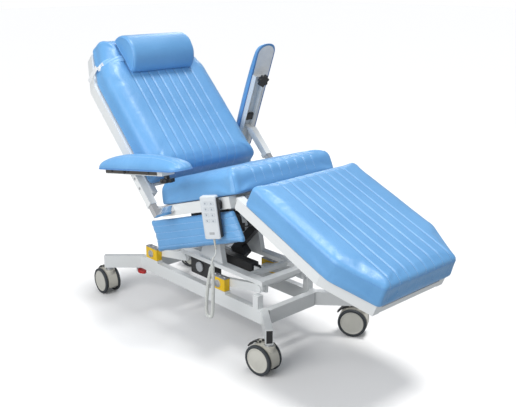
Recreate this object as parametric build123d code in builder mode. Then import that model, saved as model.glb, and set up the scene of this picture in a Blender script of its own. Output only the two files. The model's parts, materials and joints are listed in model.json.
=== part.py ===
from build123d import *
from math import atan2, cos, degrees, pi, radians, sin, tan
import os

os.makedirs("parts", exist_ok=True)

# Patient recliner chair. +Z is up, the foot end points to -Y, the patient's right is -X.
# The origin is on the floor, under the middle of the chair's length and width.
# Millimetres and degrees.

CENTRE_Y = 12.95            # every part is moved by this when saved, to put the origin there

# ---- rolling base -------------------------------------------------------------------------
TUBE_HIGH = 60.0            # base tubes stand 60 high and 30 wide
TUBE_WIDE = 30.0
TUBE_WALL = 2.5
TUBE_UNDER = 137.0          # underside of the base tubes above the floor
TUBE_TOP = TUBE_UNDER + TUBE_HIGH
RAIL_X = 147.0              # centre of each side rail
RAIL_FRONT_Y = -235.0       # where the rails bend out to the front casters
RAIL_REAR_Y = 624.0
TUBE_ENDS = {               # centres of the open tube ends
    "front_right": (-256.0, -379.0),
    "rear_right": (-282.0, 749.0),
    "front_left": (296.0, -394.0),
    "rear_left": (282.0, 749.0),
}
PLUG_DEPTH = 8.0
PEDAL_X = -156.0            # rod that the foot pedal rocks on, along the rail
PEDAL_Z = 122.0
PEDAL_ROD_R = 4.0

# ---- casters ------------------------------------------------------------------------------
WHEEL_RADIUS = 62.5
CASTER_INSET = 20.0         # swivel axis, back along the outrigger from its end
TRAIL = 28.0
WHEEL_IN = 25.6             # inner and outer faces of the two wheels
WHEEL_OUT = 40.0
WEB_HALF = 23.0
WEB_RADIUS = 63.5
HOOD_R = 23.8
HOOD_TOP = 124.0
STEM_R = 10.0
CASTER_HEADINGS = {"front_right": 7.0, "rear_right": -4.0, "front_left": 30.0, "rear_left": 12.0}

# ---- parallel-arm lift --------------------------------------------------------------------
PIN_REAR_Y = 528.0          # lower arm pins, in the pivot blocks
PIN_FRONT_Y = 40.0
PIN_Z = 234.4
ARM_LENGTH = 231.5
ARM_ANGLE = 9.5
ARM_HALF = 17.5
ARM_IN = 112.0
ARM_OUT = 131.5
PIN_R = 12.0
UPPER_PIN_R = 10.0
RUNNING = 0.06              # radial clearance of a shaft in its bore
SWING_Y = ARM_LENGTH * cos(radians(ARM_ANGLE))
UPPER_Z = PIN_Z + ARM_LENGTH * sin(radians(ARM_ANGLE))
UPPER_REAR_Y = PIN_REAR_Y - SWING_Y
UPPER_FRONT_Y = PIN_FRONT_Y - SWING_Y

# ---- chassis ------------------------------------------------------------------------------
CHASSIS_OUT = 140.0
CHASSIS_IN = 100.0
CHASSIS_LOW = 292.0
CHASSIS_TOP = 310.0
TILT_Y = 120.0              # axle that carries the seat
TILT_Z = 518.0

# ---- seat, backrest and legrest -----------------------------------------------------------
SEAT_TILT = 17.4
SEAT_Y = -186.8             # front top edge of the seat rails
SEAT_Z = 692.8
BACK_ANGLE = 45.3
BACK_Y = 287.3              # backrest hinge
BACK_Z = 533.8
LEG_DROP = 23.0
KNEE_Y = -212.5             # legrest hinge
KNEE_Z = 677.0
RAIL_OUT = 282.5            # outside of the seat and legrest side tubes
RAIL_IN = 247.5
BACK_RAIL_OUT = 303.0
BACK_RAIL_IN = 268.0

# ---- armrests -----------------------------------------------------------------------------
POST_X = 364.0
POST_HALF = 16.0
POST_LENGTH = 157.0
STEM_HALF = 13.0
POST_RISE = 91.6            # post axis in front of the backrest hinge plane
RIGHT_POST_FOOT = -18.0     # foot of each post, along the post from the backrest hinge
LEFT_POST_FOOT = 97.0
PAD_TILT = 9.2              # rise of the lowered pad towards the foot end
LEFT_PAD_ANGLE = 110.0      # direction of the folded pad, from +Y
PAD_X = 386.0
PAD_HALF = 56.0

# ---- handset and its cord -----------------------------------------------------------------
HANDSET_TOP = (-338.0, -116.5, 688.0)
HANDSET_HEADING = 26.0
HANDSET_LEAN = 7.5
HANDSET_WIDE = 66.0
HANDSET_LONG = 171.0
HANDSET_DEEP = 25.0
CORD_R = 2.0
CURL_R = 7.5

SIDES = (("right", -1), ("left", 1))


def tilted(y, z, angle):
    """A work plane across the chair: local x = world X, local y = along the angle, z = its normal."""
    lean = radians(angle)
    return Plane(origin=(0, y, z), x_dir=(1, 0, 0), z_dir=(0, -sin(lean), cos(lean)))


SEAT = tilted(SEAT_Y, SEAT_Z, -SEAT_TILT)       # local y runs to the rear
BACK = tilted(BACK_Y, BACK_Z, BACK_ANGLE)       # local y runs up the backrest
LEG = tilted(KNEE_Y, KNEE_Z, LEG_DROP)          # local y runs to the knee, so the foot is at -y


def side_view(y, z, angle, x=0.0):
    """A work plane seen from the side: local x = along the angle, local y = its normal, z = world X."""
    lean = radians(angle)
    return Plane(origin=(x, y, z), x_dir=(0, cos(lean), sin(lean)), z_dir=(1, 0, 0))


def save(piece, name):
    placed = piece.part.moved(Location((0, CENTRE_Y, 0)))
    placed.label = name
    export_step(placed, f"parts/{name}.step")


def block(x, y, z, mode=Mode.ADD):
    """A box between three pairs of limits, in the work plane of the part being built."""
    centre = ((x[0] + x[1]) / 2, (y[0] + y[1]) / 2, (z[0] + z[1]) / 2)
    with Locations(centre):
        Box(abs(x[1] - x[0]), abs(y[1] - y[0]), abs(z[1] - z[0]), mode=mode)


def prism(plane, outline, low, high, mode=Mode.ADD):
    """A prism on a plane, between two heights."""
    with BuildSketch(plane.offset(low)) as section:
        with BuildLine():
            Polyline(*outline, close=True)
        make_face()
    extrude(section.sketch, amount=high - low, mode=mode)


def cross_rod(x, y, z, radius, mode=Mode.ADD):
    """A round rod along world X, in the work plane of the part being built."""
    with Locations(((x[0] + x[1]) / 2, y, z)):
        Cylinder(radius, abs(x[1] - x[0]), rotation=(0, 90, 0), mode=mode)


def mirrored(side, low, high):
    return (side * low, side * high)


# =============================== rolling base ===============================================

def base_line(name, side):
    """Centre line of one side rail with its two outriggers, front to rear."""
    return [
        TUBE_ENDS[f"front_{name}"],
        (side * RAIL_X, RAIL_FRONT_Y),
        (side * RAIL_X, RAIL_REAR_Y),
        TUBE_ENDS[f"rear_{name}"],
    ]


def tube_segment(points, index, half):
    """Plan outline of one mitred tube of a bent line, the given half width each side."""
    start = Vector(*points[index])
    end = Vector(*points[index + 1])
    run = (end - start).normalized()
    across = Vector(-run.Y, run.X)
    corners = []
    for place, other in ((start, index - 1), (end, index + 2)):
        mitre = across * half
        if 0 <= other < len(points):
            neighbour = Vector(*points[other])
            step = place - neighbour if other < index else neighbour - place
            step = step.normalized()
            normal = Vector(-step.Y, step.X)
            mitre = (across + normal) * (half / (1 + across.dot(normal)))
        corners.append((place + mitre, place - mitre))
    outline = (corners[0][0], corners[0][1], corners[1][1], corners[1][0])
    return [(p.X, p.Y) for p in outline]


def outrigger_end(name):
    """Centre of an open tube end, and the unit direction in which the tube runs out to it."""
    tip = Vector(*TUBE_ENDS[name])
    bend_y = RAIL_FRONT_Y if "front" in name else RAIL_REAR_Y
    bend = Vector(RAIL_X if "left" in name else -RAIL_X, bend_y)
    return tip, (tip - bend).normalized()


with BuildPart() as base_frame:
    for name, side in SIDES:
        line = base_line(name, side)
        for index in range(3):
            prism(Plane.XY, tube_segment(line, index, TUBE_WIDE / 2), TUBE_UNDER, TUBE_TOP)
            prism(
                Plane.XY,
                tube_segment(line, index, TUBE_WIDE / 2 - TUBE_WALL),
                TUBE_UNDER + TUBE_WALL,
                TUBE_TOP - TUBE_WALL,
                mode=Mode.SUBTRACT,
            )
        rail_side = mirrored(side, RAIL_X - TUBE_WIDE / 2, RAIL_X + TUBE_WIDE / 2)
        for pin_y in (PIN_FRONT_Y, PIN_REAR_Y):
            block(rail_side, (pin_y - 48, pin_y + 48), (TUBE_TOP, TUBE_TOP + 10))
        # rest post under each front upper pivot
        block(rail_side, (UPPER_FRONT_Y - 22, UPPER_FRONT_Y + 8), (TUBE_TOP, 252))
    rail_gap = (TUBE_WIDE / 2 - RAIL_X, RAIL_X - TUBE_WIDE / 2)
    for front in (RAIL_FRONT_Y - 15, 560.0):
        block(rail_gap, (front, front + TUBE_WIDE), (TUBE_UNDER, TUBE_TOP))
        block(
            rail_gap,
            (front + TUBE_WALL, front + TUBE_WIDE - TUBE_WALL),
            (TUBE_UNDER + TUBE_WALL, TUBE_TOP - TUBE_WALL),
            mode=Mode.SUBTRACT,
        )
    # bracket that carries the foot pedal
    block((-168, -144), (642, 650), (112, TUBE_UNDER))
    pedal_view = Plane(origin=(PEDAL_X, 650, PEDAL_Z), x_dir=(1, 0, 0), z_dir=(0, -1, 0))
    with BuildSketch(pedal_view):
        Circle(PEDAL_ROD_R + RUNNING)
    extrude(amount=8, mode=Mode.SUBTRACT)
save(base_frame, "base_frame")

with BuildPart() as outrigger_plugs:
    for name in TUBE_ENDS:
        tip, out = outrigger_end(name)
        face = tip - out * PLUG_DEPTH
        plug_plane = Plane(
            origin=(face.X, face.Y, TUBE_UNDER + TUBE_HIGH / 2),
            x_dir=(-out.Y, out.X, 0),
            z_dir=(out.X, out.Y, 0),
        )
        with BuildSketch(plug_plane):
            Rectangle(TUBE_WIDE - 2 * TUBE_WALL, TUBE_HIGH - 2 * TUBE_WALL)
        extrude(amount=5)
save(outrigger_plugs, "outrigger_plugs")

with BuildPart() as pivot_blocks:
    for _, side in SIDES:
        block_side = mirrored(side, RAIL_X - TUBE_WIDE / 2, RAIL_X + TUBE_WIDE / 2)
        for pin_y in (PIN_FRONT_Y, PIN_REAR_Y):
            block(block_side, (pin_y - 43, pin_y + 43), (TUBE_TOP + 10, TUBE_TOP + 64))
            cross_rod(block_side, pin_y, PIN_Z, PIN_R + RUNNING, mode=Mode.SUBTRACT)
save(pivot_blocks, "pivot_blocks")

with BuildPart() as foot_pedal:
    with BuildSketch(Plane.XY.offset(PEDAL_Z - 6)):
        with Locations((PEDAL_X - 6, 612)):
            Ellipse(17, 27)
    extrude(amount=12)
    with BuildSketch(pedal_view.offset(-3)):
        Circle(PEDAL_ROD_R)
    extrude(amount=34)
save(foot_pedal, "foot_pedal")

# =============================== casters ====================================================

def caster_plane(name):
    """The swivel axis on the floor: local x = the axle, local y = the way the wheels trail."""
    tip, out = outrigger_end(name)
    axis = tip - out * CASTER_INSET
    turn = radians(CASTER_HEADINGS[name])
    return Plane(origin=(axis.X, axis.Y, 0), x_dir=(cos(turn), sin(turn), 0), z_dir=(0, 0, 1))


def wheel_view(plane, x):
    """The plane across a caster's axle: local x = trailing direction, local y = up."""
    trail = plane.y_dir
    place = plane.origin + plane.x_dir * x
    return Plane(origin=place, x_dir=trail, z_dir=plane.x_dir)


def around_wheel(angle, radius):
    """A point about the axle, by its angle up from the trailing direction."""
    return (TRAIL + radius * cos(radians(angle)), WHEEL_RADIUS + radius * sin(radians(angle)))


LEVER_PIVOT = around_wheel(77, 69.0)
LEVER_PIN_R = 3.0

with BuildPart() as caster_stems:
    for name in CASTER_HEADINGS:
        swivel = caster_plane(name)
        with BuildSketch(swivel.offset(92)):
            Circle(STEM_R)
        extrude(amount=TUBE_UNDER - 92)
        with BuildSketch(swivel.offset(HOOD_TOP + 2)):
            Circle(16)
        extrude(amount=TUBE_UNDER - HOOD_TOP - 2)
save(caster_stems, "caster_stems")

for name in CASTER_HEADINGS:
    swivel = caster_plane(name)
    with BuildPart() as caster_hood:
        with BuildSketch(swivel.offset(34)):
            Circle(HOOD_R)
        extrude(amount=HOOD_TOP - 34)
        with BuildSketch(swivel.offset(HOOD_TOP - 8)):
            Circle(HOOD_R + 1.4)
        extrude(amount=8)
        with BuildSketch(wheel_view(swivel, -WEB_HALF)):
            with Locations((TRAIL, WHEEL_RADIUS)):
                Circle(WEB_RADIUS)
            with Locations((TRAIL, 20)):
                Rectangle(2 * WEB_RADIUS + 2, 44, mode=Mode.SUBTRACT)
            with Locations((TRAIL, WHEEL_RADIUS)):
                Circle(38)
        extrude(amount=2 * WEB_HALF)
        # lug that holds the brake lever
        with BuildSketch(wheel_view(swivel, -5.5)):
            with Locations(LEVER_PIVOT):
                Circle(5.5)
            with BuildLine():
                Polyline(
                    around_wheel(82, WEB_RADIUS - 4),
                    around_wheel(72, WEB_RADIUS - 4),
                    around_wheel(73, 69),
                    around_wheel(81, 69),
                    close=True,
                )
            make_face()
        extrude(amount=11)
        with BuildSketch(wheel_view(swivel, -13)):
            with Locations(LEVER_PIVOT):
                Circle(LEVER_PIN_R)
        extrude(amount=26)
        with BuildSketch(swivel.offset(88)):
            Circle(STEM_R + RUNNING)
        extrude(amount=HOOD_TOP - 88, mode=Mode.SUBTRACT)
        with BuildSketch(wheel_view(swivel, -WEB_HALF)):
            with Locations((TRAIL, WHEEL_RADIUS)):
                Circle(6 + RUNNING)
        extrude(amount=2 * WEB_HALF, mode=Mode.SUBTRACT)
    save(caster_hood, f"caster_hood_{name}")

    with BuildPart() as caster_wheels:
        with BuildSketch(wheel_view(swivel, -WHEEL_IN)):
            with Locations((TRAIL, WHEEL_RADIUS)):
                Circle(6)
        extrude(amount=2 * WHEEL_IN)
        for face in (-WHEEL_OUT, WHEEL_IN):
            with BuildSketch(wheel_view(swivel, face)):
                with Locations((TRAIL, WHEEL_RADIUS)):
                    Circle(WHEEL_RADIUS)
            extrude(amount=WHEEL_OUT - WHEEL_IN)
        rims = caster_wheels.edges().filter_by(GeomType.CIRCLE)
        fillet(rims.filter_by(lambda edge: edge.radius > WHEEL_RADIUS - 1), radius=5)
        # shallow dish in each outer face, inside the tyre
        for face in (-WHEEL_OUT, WHEEL_OUT - 1.5):
            with BuildSketch(wheel_view(swivel, face)):
                with Locations((TRAIL, WHEEL_RADIUS)):
                    Circle(51)
            extrude(amount=1.5, mode=Mode.SUBTRACT)
    save(caster_wheels, f"caster_wheels_{name}")

    with BuildPart() as caster_lever:
        with BuildSketch(wheel_view(swivel, -13)):
            with BuildLine():
                Polyline(
                    around_wheel(85, 67),
                    around_wheel(60, 67.5),
                    around_wheel(40, 70),
                    around_wheel(25, 73),
                    around_wheel(25, 79),
                    around_wheel(42, 77),
                    around_wheel(60, 74.5),
                    around_wheel(85, 74),
                    close=True,
                )
            make_face()
        extrude(amount=26)
        with BuildSketch(wheel_view(swivel, -6)):
            with BuildLine():
                Polyline(
                    around_wheel(90, 60),
                    around_wheel(66, 60),
                    around_wheel(66, 82),
                    around_wheel(90, 82),
                    close=True,
                )
            make_face()
        extrude(amount=12, mode=Mode.SUBTRACT)
        with BuildSketch(wheel_view(swivel, -13)):
            with Locations(LEVER_PIVOT):
                Circle(LEVER_PIN_R + RUNNING)
        extrude(amount=26, mode=Mode.SUBTRACT)
    save(caster_lever, f"caster_lever_{name}")

# =============================== parallel-arm lift ==========================================

LEVER_UP = 30.0             # lift lever above the rear upper pivots
LIFT_X = -35.0
ACTUATOR_PIN_R = 6.0
PUSH_PIN_R = 4.0
EYE_BORE = 7.5


def lift_arms(pin_y, cross_rods):
    """Two arm bars with their pins; cross_rods adds what joins the pair."""
    upper_y = pin_y - SWING_Y
    for _, side in SIDES:
        arm_view = side_view(pin_y, PIN_Z, 180 - ARM_ANGLE, side * (ARM_IN + ARM_OUT) / 2)
        with BuildSketch(arm_view) as arm:
            with Locations((ARM_LENGTH / 2, 0)):
                SlotCenterToCenter(ARM_LENGTH, 2 * ARM_HALF)
        extrude(arm.sketch, amount=(ARM_OUT - ARM_IN) / 2, both=True)
        cross_rod(mirrored(side, ARM_OUT, 166), pin_y, PIN_Z, PIN_R)
        cross_rod(mirrored(side, 162.4, 166), pin_y, PIN_Z, 17)
        cross_rod(mirrored(side, ARM_OUT, 139), upper_y, UPPER_Z, 14)
        cross_rod(mirrored(side, 98, ARM_IN), upper_y, UPPER_Z, UPPER_PIN_R)
    for radius, distance, half_span in cross_rods:
        rod_y = upper_y + distance * cos(radians(ARM_ANGLE))
        rod_z = UPPER_Z - distance * sin(radians(ARM_ANGLE))
        cross_rod((-half_span, half_span), rod_y, rod_z, radius)


with BuildPart() as rear_lift_arms:
    lift_arms(PIN_REAR_Y, [(20, 60, ARM_IN), (UPPER_PIN_R, 0, 99)])
    # lever cheeks that the lift actuator pushes
    for low, high in ((-14, -8), (8, 14)):
        block(
            (LIFT_X + low, LIFT_X + high),
            (UPPER_REAR_Y - 10, UPPER_REAR_Y + 10),
            (UPPER_Z, UPPER_Z + LEVER_UP + 9),
        )
    cross_rod((LIFT_X - 16, LIFT_X + 16), UPPER_REAR_Y, UPPER_Z + LEVER_UP, PUSH_PIN_R)
save(rear_lift_arms, "rear_lift_arms")

with BuildPart() as front_lift_arms:
    lift_arms(PIN_FRONT_Y, [(22, 50, ARM_IN)])
save(front_lift_arms, "front_lift_arms")

# Actuators: each lies between the pin of its housing and the pin of what it pushes, as
# (Y, Z) points. The backrest and legrest ones lie along the seat frame and push a lever
# that hangs below the hinge; their rods end in an upright slot.
LIFT_PIN = (-75.0, UPPER_Z + LEVER_UP)
LIFT_EYE = (UPPER_REAR_Y, UPPER_Z + LEVER_UP)
TILT_X = 45.0
TILT_PIN = (176.0, 290.0)
TILT_EYE = (-50.0, 525.0)
BACK_PIN = (BACK_Y - 250.0, BACK_Z - 48.0)
BACK_EYE = (BACK_Y + 19.9, BACK_Z - 45.9)
LEG_X = -45.0
LEG_PIN = (KNEE_Y + 211.9, KNEE_Z - 142.3)
LEG_EYE = (KNEE_Y - 18.5, KNEE_Z - 77.8)
CHEEKS = ((-15, -9), (9, 15))


def build_actuator(name, x, pin, direction, length, housing, half, motor, rod_start, slot):
    """A linear actuator. The housing and the motor are limits along its axis from the pin;
    the motor also has limits across the axis and sideways. slot is the rod end's free play."""
    axis = side_view(pin[0], pin[1], direction, x)
    with BuildPart() as body:
        with BuildSketch(axis):
            with Locations(((housing[0] + housing[1]) / 2, 0)):
                RectangleRounded(housing[1] - housing[0], 2 * half, 4)
        extrude(amount=half, both=True)
        with BuildSketch(axis):
            Circle(13)
            with Locations((housing[0] / 2, 0)):
                Rectangle(housing[0] + 2, 18)
        extrude(amount=8, both=True)
        along, across, sideways = motor
        with BuildSketch(axis.offset(sideways[0])):
            with Locations(((along[0] + along[1]) / 2, (across[0] + across[1]) / 2)):
                RectangleRounded(along[1] - along[0], across[1] - across[0], 6)
        extrude(amount=sideways[1] - sideways[0])
        with BuildSketch(axis):
            Circle(ACTUATOR_PIN_R + RUNNING)
        extrude(amount=8, both=True, mode=Mode.SUBTRACT)
        mouth = Plane(origin=axis.from_local_coords((housing[1], 0, 0)), z_dir=-axis.x_dir)
        with BuildSketch(mouth):
            Circle(8.5)
        extrude(amount=housing[1] - housing[0] - 12, mode=Mode.SUBTRACT)
    save(body, f"{name}_actuator_body")
    with BuildPart() as rod:
        foot = Plane(origin=axis.from_local_coords((rod_start, 0, 0)), z_dir=axis.x_dir)
        with BuildSketch(foot):
            Circle(8)
        extrude(amount=length - rod_start - EYE_BORE - 1)
        for radius, mode in ((EYE_BORE + 5, Mode.ADD), (EYE_BORE, Mode.SUBTRACT)):
            with BuildSketch(axis):
                with Locations((length, 0)):
                    SlotOverall(2 * radius + slot, 2 * radius, rotation=90)
            extrude(amount=7, both=True, mode=mode)
    save(rod, f"{name}_actuator_rod")


def span(pin, eye):
    """Direction and distance from a housing's pin to a rod's pin."""
    run = Vector(eye[0] - pin[0], eye[1] - pin[1])
    return degrees(atan2(run.Y, run.X)), run.length


build_actuator(
    "lift", LIFT_X, LIFT_PIN, *span(LIFT_PIN, LIFT_EYE),
    housing=(18, 290), half=20, motor=((220, 352), (-95, -19), (-85, -19)), rod_start=148, slot=1,
)
build_actuator(
    "tilt", TILT_X, TILT_PIN, *span(TILT_PIN, TILT_EYE),
    housing=(18, 215), half=17, motor=((26, 90), (16, 60), (-16, 16)), rod_start=120, slot=1,
)
build_actuator(
    "back", 0, BACK_PIN, 0.0, BACK_EYE[0] - BACK_PIN[0],
    housing=(18, 175), half=17, motor=((26, 90), (-64, -16), (-16, 16)), rod_start=100, slot=19,
)
build_actuator(
    "leg", LEG_X, LEG_PIN, 180 - SEAT_TILT, 239.0,
    housing=(18, 165), half=17, motor=((26, 90), (16, 60), (-16, 16)), rod_start=80, slot=19,
)

# =============================== chassis ====================================================

UPRIGHT_IN = 100.0
UPRIGHT_OUT = 125.0

with BuildPart() as chassis_frame:
    for _, side in SIDES:
        block(
            mirrored(side, CHASSIS_IN, CHASSIS_OUT),
            (UPPER_FRONT_Y - 24, UPPER_REAR_Y + 25),
            (CHASSIS_LOW, CHASSIS_TOP),
        )
        for upper_y in (UPPER_FRONT_Y, UPPER_REAR_Y):
            block(mirrored(side, 100, 111.5), (upper_y - 18, upper_y + 18), (254, CHASSIS_LOW))
        # upright that carries the tilt axle
        with BuildSketch(Plane.YZ.offset(side * (UPRIGHT_IN + UPRIGHT_OUT) / 2)):
            with BuildLine():
                Polyline(
                    (TILT_Y - 70, CHASSIS_TOP),
                    (TILT_Y + 80, CHASSIS_TOP),
                    (TILT_Y + 24, TILT_Z),
                    (TILT_Y - 24, TILT_Z),
                    close=True,
                )
            make_face()
            with Locations((TILT_Y, TILT_Z)):
                Circle(24)
        extrude(amount=(UPRIGHT_OUT - UPRIGHT_IN) / 2, both=True)
        cross_rod(
            mirrored(side, UPRIGHT_IN, UPRIGHT_OUT), TILT_Y, TILT_Z, UPPER_PIN_R + RUNNING,
            mode=Mode.SUBTRACT,
        )
        for upper_y in (UPPER_FRONT_Y, UPPER_REAR_Y):
            cross_rod(
                mirrored(side, 100, 111.5), upper_y, UPPER_Z, UPPER_PIN_R + RUNNING,
                mode=Mode.SUBTRACT,
            )
    inner = (-CHASSIS_IN, CHASSIS_IN)
    block(inner, (UPPER_FRONT_Y - 24, UPPER_FRONT_Y + 12), (CHASSIS_LOW, CHASSIS_TOP))
    block(inner, (LIFT_PIN[0] - 42, LIFT_PIN[0] - 20), (CHASSIS_LOW, CHASSIS_TOP))
    block((-UPRIGHT_IN, UPRIGHT_IN), (TILT_Y + 10, TILT_Y + 34), (372, 396))
    # lugs for the lift actuator
    for low, high in CHEEKS:
        block(
            (LIFT_X + low, LIFT_X + high),
            (LIFT_PIN[0] - 20, LIFT_PIN[0] + 10),
            (CHASSIS_LOW, LIFT_PIN[1] + 11),
        )
    cross_rod((LIFT_X - 17, LIFT_X + 17), LIFT_PIN[0], LIFT_PIN[1], ACTUATOR_PIN_R)
    # bar and lugs for the tilt actuator
    block((TILT_X - 15, CHASSIS_IN), (TILT_PIN[0] + 18, TILT_PIN[0] + 38), (CHASSIS_LOW, CHASSIS_TOP))
    for low, high in CHEEKS:
        block(
            (TILT_X + low, TILT_X + high),
            (TILT_PIN[0] - 1, TILT_PIN[0] + 20),
            (TILT_PIN[1] - 11, CHASSIS_TOP),
        )
    cross_rod((TILT_X - 17, TILT_X + 17), TILT_PIN[0], TILT_PIN[1], ACTUATOR_PIN_R)
save(chassis_frame, "chassis_frame")

# =============================== seat =======================================================

def in_plane(plane, point):
    """Local along and height of a (Y, Z) point."""
    local = plane.to_local_coords(Vector(0, point[0], point[1]))
    return local.Y, local.Z


SEAT_RAIL_HIGH = 46.0
SEAT_RAIL_REAR = 476.0
KNEE_AT = in_plane(SEAT, (KNEE_Y, KNEE_Z))
HINGE_AT = in_plane(SEAT, (BACK_Y, BACK_Z))
TILT_AT = in_plane(SEAT, (TILT_Y, TILT_Z))
CROSSBARS = (60.0, 262.0, TILT_AT[0] - 15, 430.0)

with BuildPart(SEAT) as seat_frame:
    for _, side in SIDES:
        block(mirrored(side, RAIL_IN, RAIL_OUT), (9, SEAT_RAIL_REAR), (-SEAT_RAIL_HIGH, 0))
        block(
            mirrored(side, RAIL_IN + TUBE_WALL, RAIL_OUT - TUBE_WALL),
            (9 + TUBE_WALL, SEAT_RAIL_REAR - TUBE_WALL),
            (TUBE_WALL - SEAT_RAIL_HIGH, -TUBE_WALL),
            mode=Mode.SUBTRACT,
        )
        # knee lug
        block(mirrored(side, 236, RAIL_IN), (KNEE_AT[0], 70), (KNEE_AT[1] - 13, KNEE_AT[1] + 13))
        cross_rod(mirrored(side, 236, RAIL_IN), *KNEE_AT, 13)
        # backrest hinge plate
        block(
            mirrored(side, 270, RAIL_OUT),
            (SEAT_RAIL_REAR - 1, HINGE_AT[0]),
            (HINGE_AT[1] - 14, HINGE_AT[1] + 10),
        )
        cross_rod(mirrored(side, 270, RAIL_OUT), *HINGE_AT, 14)
        cross_rod(mirrored(side, 236, RAIL_IN), *KNEE_AT, 7, mode=Mode.SUBTRACT)
        cross_rod(mirrored(side, 270, RAIL_OUT), *HINGE_AT, 8, mode=Mode.SUBTRACT)
        # tilt lug
        block(
            mirrored(side, 86, 96),
            (TILT_AT[0] - 15, TILT_AT[0] + 15),
            (TILT_AT[1] - 14, 16 - SEAT_RAIL_HIGH),
        )
        cross_rod(mirrored(side, 86, 96), *TILT_AT, UPPER_PIN_R, mode=Mode.SUBTRACT)
    for start in CROSSBARS:
        block((-RAIL_IN, RAIL_IN), (start, start + 30), (-SEAT_RAIL_HIGH, 30 - SEAT_RAIL_HIGH))
    # actuator brackets
    for x, pin in ((0.0, BACK_PIN), (LEG_X, LEG_PIN)):
        along, height = in_plane(SEAT, pin)
        for low, high in CHEEKS:
            block((x + low, x + high), (along - 12, along + 12), (height - 12, -SEAT_RAIL_HIGH))
            block((x + low, x + high), (min(along - 12, 262), max(along + 12, 292)), (-60, -46))
        cross_rod((x - 17, x + 17), along, height, ACTUATOR_PIN_R)
    along, height = in_plane(SEAT, TILT_EYE)
    for low, high in CHEEKS:
        block((TILT_X + low, TILT_X + high), (60, along + 12), (height - 12, -SEAT_RAIL_HIGH))
    cross_rod((TILT_X - 16, TILT_X + 16), along, height, PUSH_PIN_R)
save(seat_frame, "seat_frame")

with BuildPart(SEAT) as hinge_pins:
    for _, side in SIDES:
        cross_rod(mirrored(side, 236, 266), *KNEE_AT, 7)
        cross_rod(mirrored(side, 270, 301), *HINGE_AT, 8)
    cross_rod((-128, 128), *TILT_AT, UPPER_PIN_R)
save(hinge_pins, "hinge_pins")

SEAT_HALF = 287.0
with BuildPart(SEAT) as seat_cushion:
    block((-SEAT_HALF, SEAT_HALF), (-38, 466), (0.5, 100))
    fillet(seat_cushion.edges().filter_by(Axis.X).sort_by(Axis.Z)[-1:], radius=45)
    fillet(seat_cushion.edges().filter_by(Axis.X).sort_by(Axis.Y)[-1:], radius=12)
save(seat_cushion, "seat_cushion")

SKIRT_IN = 256.0
SKIRT_OUT = 283.0
with BuildPart() as side_skirts:
    for _, side in SIDES:
        with BuildSketch(side_view(SEAT_Y, SEAT_Z, -SEAT_TILT, side * SKIRT_IN)):
            with BuildLine():
                Polyline((16, -52), (588, -52), (580, -202), (-20, -184), close=True)
            make_face()
        extrude(amount=side * (SKIRT_OUT - SKIRT_IN))
    uprights = side_skirts.edges().filter_by(Axis.X).group_by(Axis.Y)
    fillet(uprights[0], radius=12)
save(side_skirts, "side_skirts")

CONTROL_BOX = ((-240.0, -135.0), (210.0, 330.0), (-98.0, -SEAT_RAIL_HIGH))
with BuildPart(SEAT) as control_box:
    block(*CONTROL_BOX)
    fillet(control_box.edges().filter_by(Axis.X), radius=8)
save(control_box, "control_box")

# =============================== backrest ===================================================

BACK_LOW = -13.0
BACK_HIGH = 39.0
BACK_KINK = 640.0
BACK_TOP = 815.0
with BuildPart(BACK) as backrest_frame:
    for _, side in SIDES:
        outer = [
            (side * BACK_RAIL_OUT, 62), (side * BACK_RAIL_OUT, BACK_KINK), (side * 235, BACK_TOP),
            (side * 200, BACK_TOP), (side * BACK_RAIL_IN, BACK_KINK - 6), (side * BACK_RAIL_IN, 62),
        ]
        inner = [
            (side * (BACK_RAIL_OUT - TUBE_WALL), 62 + TUBE_WALL),
            (side * (BACK_RAIL_OUT - TUBE_WALL), BACK_KINK),
            (side * (235 - TUBE_WALL), BACK_TOP - TUBE_WALL),
            (side * (200 + TUBE_WALL), BACK_TOP - TUBE_WALL),
            (side * (BACK_RAIL_IN + TUBE_WALL), BACK_KINK - 6),
            (side * (BACK_RAIL_IN + TUBE_WALL), 62 + TUBE_WALL),
        ]
        prism(BACK, outer, BACK_LOW, BACK_HIGH)
        prism(BACK, inner, BACK_LOW + TUBE_WALL, BACK_HIGH - TUBE_WALL, mode=Mode.SUBTRACT)
        # hinge lug
        block(mirrored(side, 287, 299), (0, 66), (-13, 13))
        cross_rod(mirrored(side, 287, 299), 0, 0, 13)
        cross_rod(mirrored(side, 287, 299), 0, 0, 8 + RUNNING, mode=Mode.SUBTRACT)
    for start in (110.0, 430.0):
        block((-BACK_RAIL_IN, BACK_RAIL_IN), (start, start + 30), (0, 25))
    block((-206, 206), (BACK_TOP - 30, BACK_TOP), (0, 25))
    # lever cheeks for the backrest actuator
    lever_along, lever_height = in_plane(BACK, BACK_EYE)
    for low, high in CHEEKS:
        with BuildSketch(side_view(BACK_Y, BACK_Z, BACK_ANGLE, low)):
            with BuildLine():
                Polyline(
                    (110, 0), (140, 0), (lever_along + 16, lever_height - 6), (lever_along, lever_height - 10),
                    (lever_along - 10, lever_height), (lever_along - 4, lever_height + 14),
                    close=True,
                )
            make_face()
        extrude(amount=high - low)
    cross_rod((-16, 16), lever_along, lever_height, PUSH_PIN_R)
save(backrest_frame, "backrest_frame")

with BuildPart(BACK) as backrest_cushion:
    outline = [(298, 100), (298, BACK_KINK), (226, 850), (-226, 850), (-298, BACK_KINK), (-298, 100)]
    prism(BACK, outline, 40, 140)
save(backrest_cushion, "backrest_cushion")

PILLOW_X = (-157.0, 173.0)
with BuildPart() as head_pillow:
    with BuildSketch(side_view(BACK_Y, BACK_Z, BACK_ANGLE, PILLOW_X[0])):
        with Locations((707, 141.5)):
            Ellipse(95, 95)
        with Locations((707, 141.5 - 50)):
            Rectangle(200, 100, mode=Mode.SUBTRACT)
    extrude(amount=PILLOW_X[1] - PILLOW_X[0])
save(head_pillow, "head_pillow")

# =============================== legrest ====================================================

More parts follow.
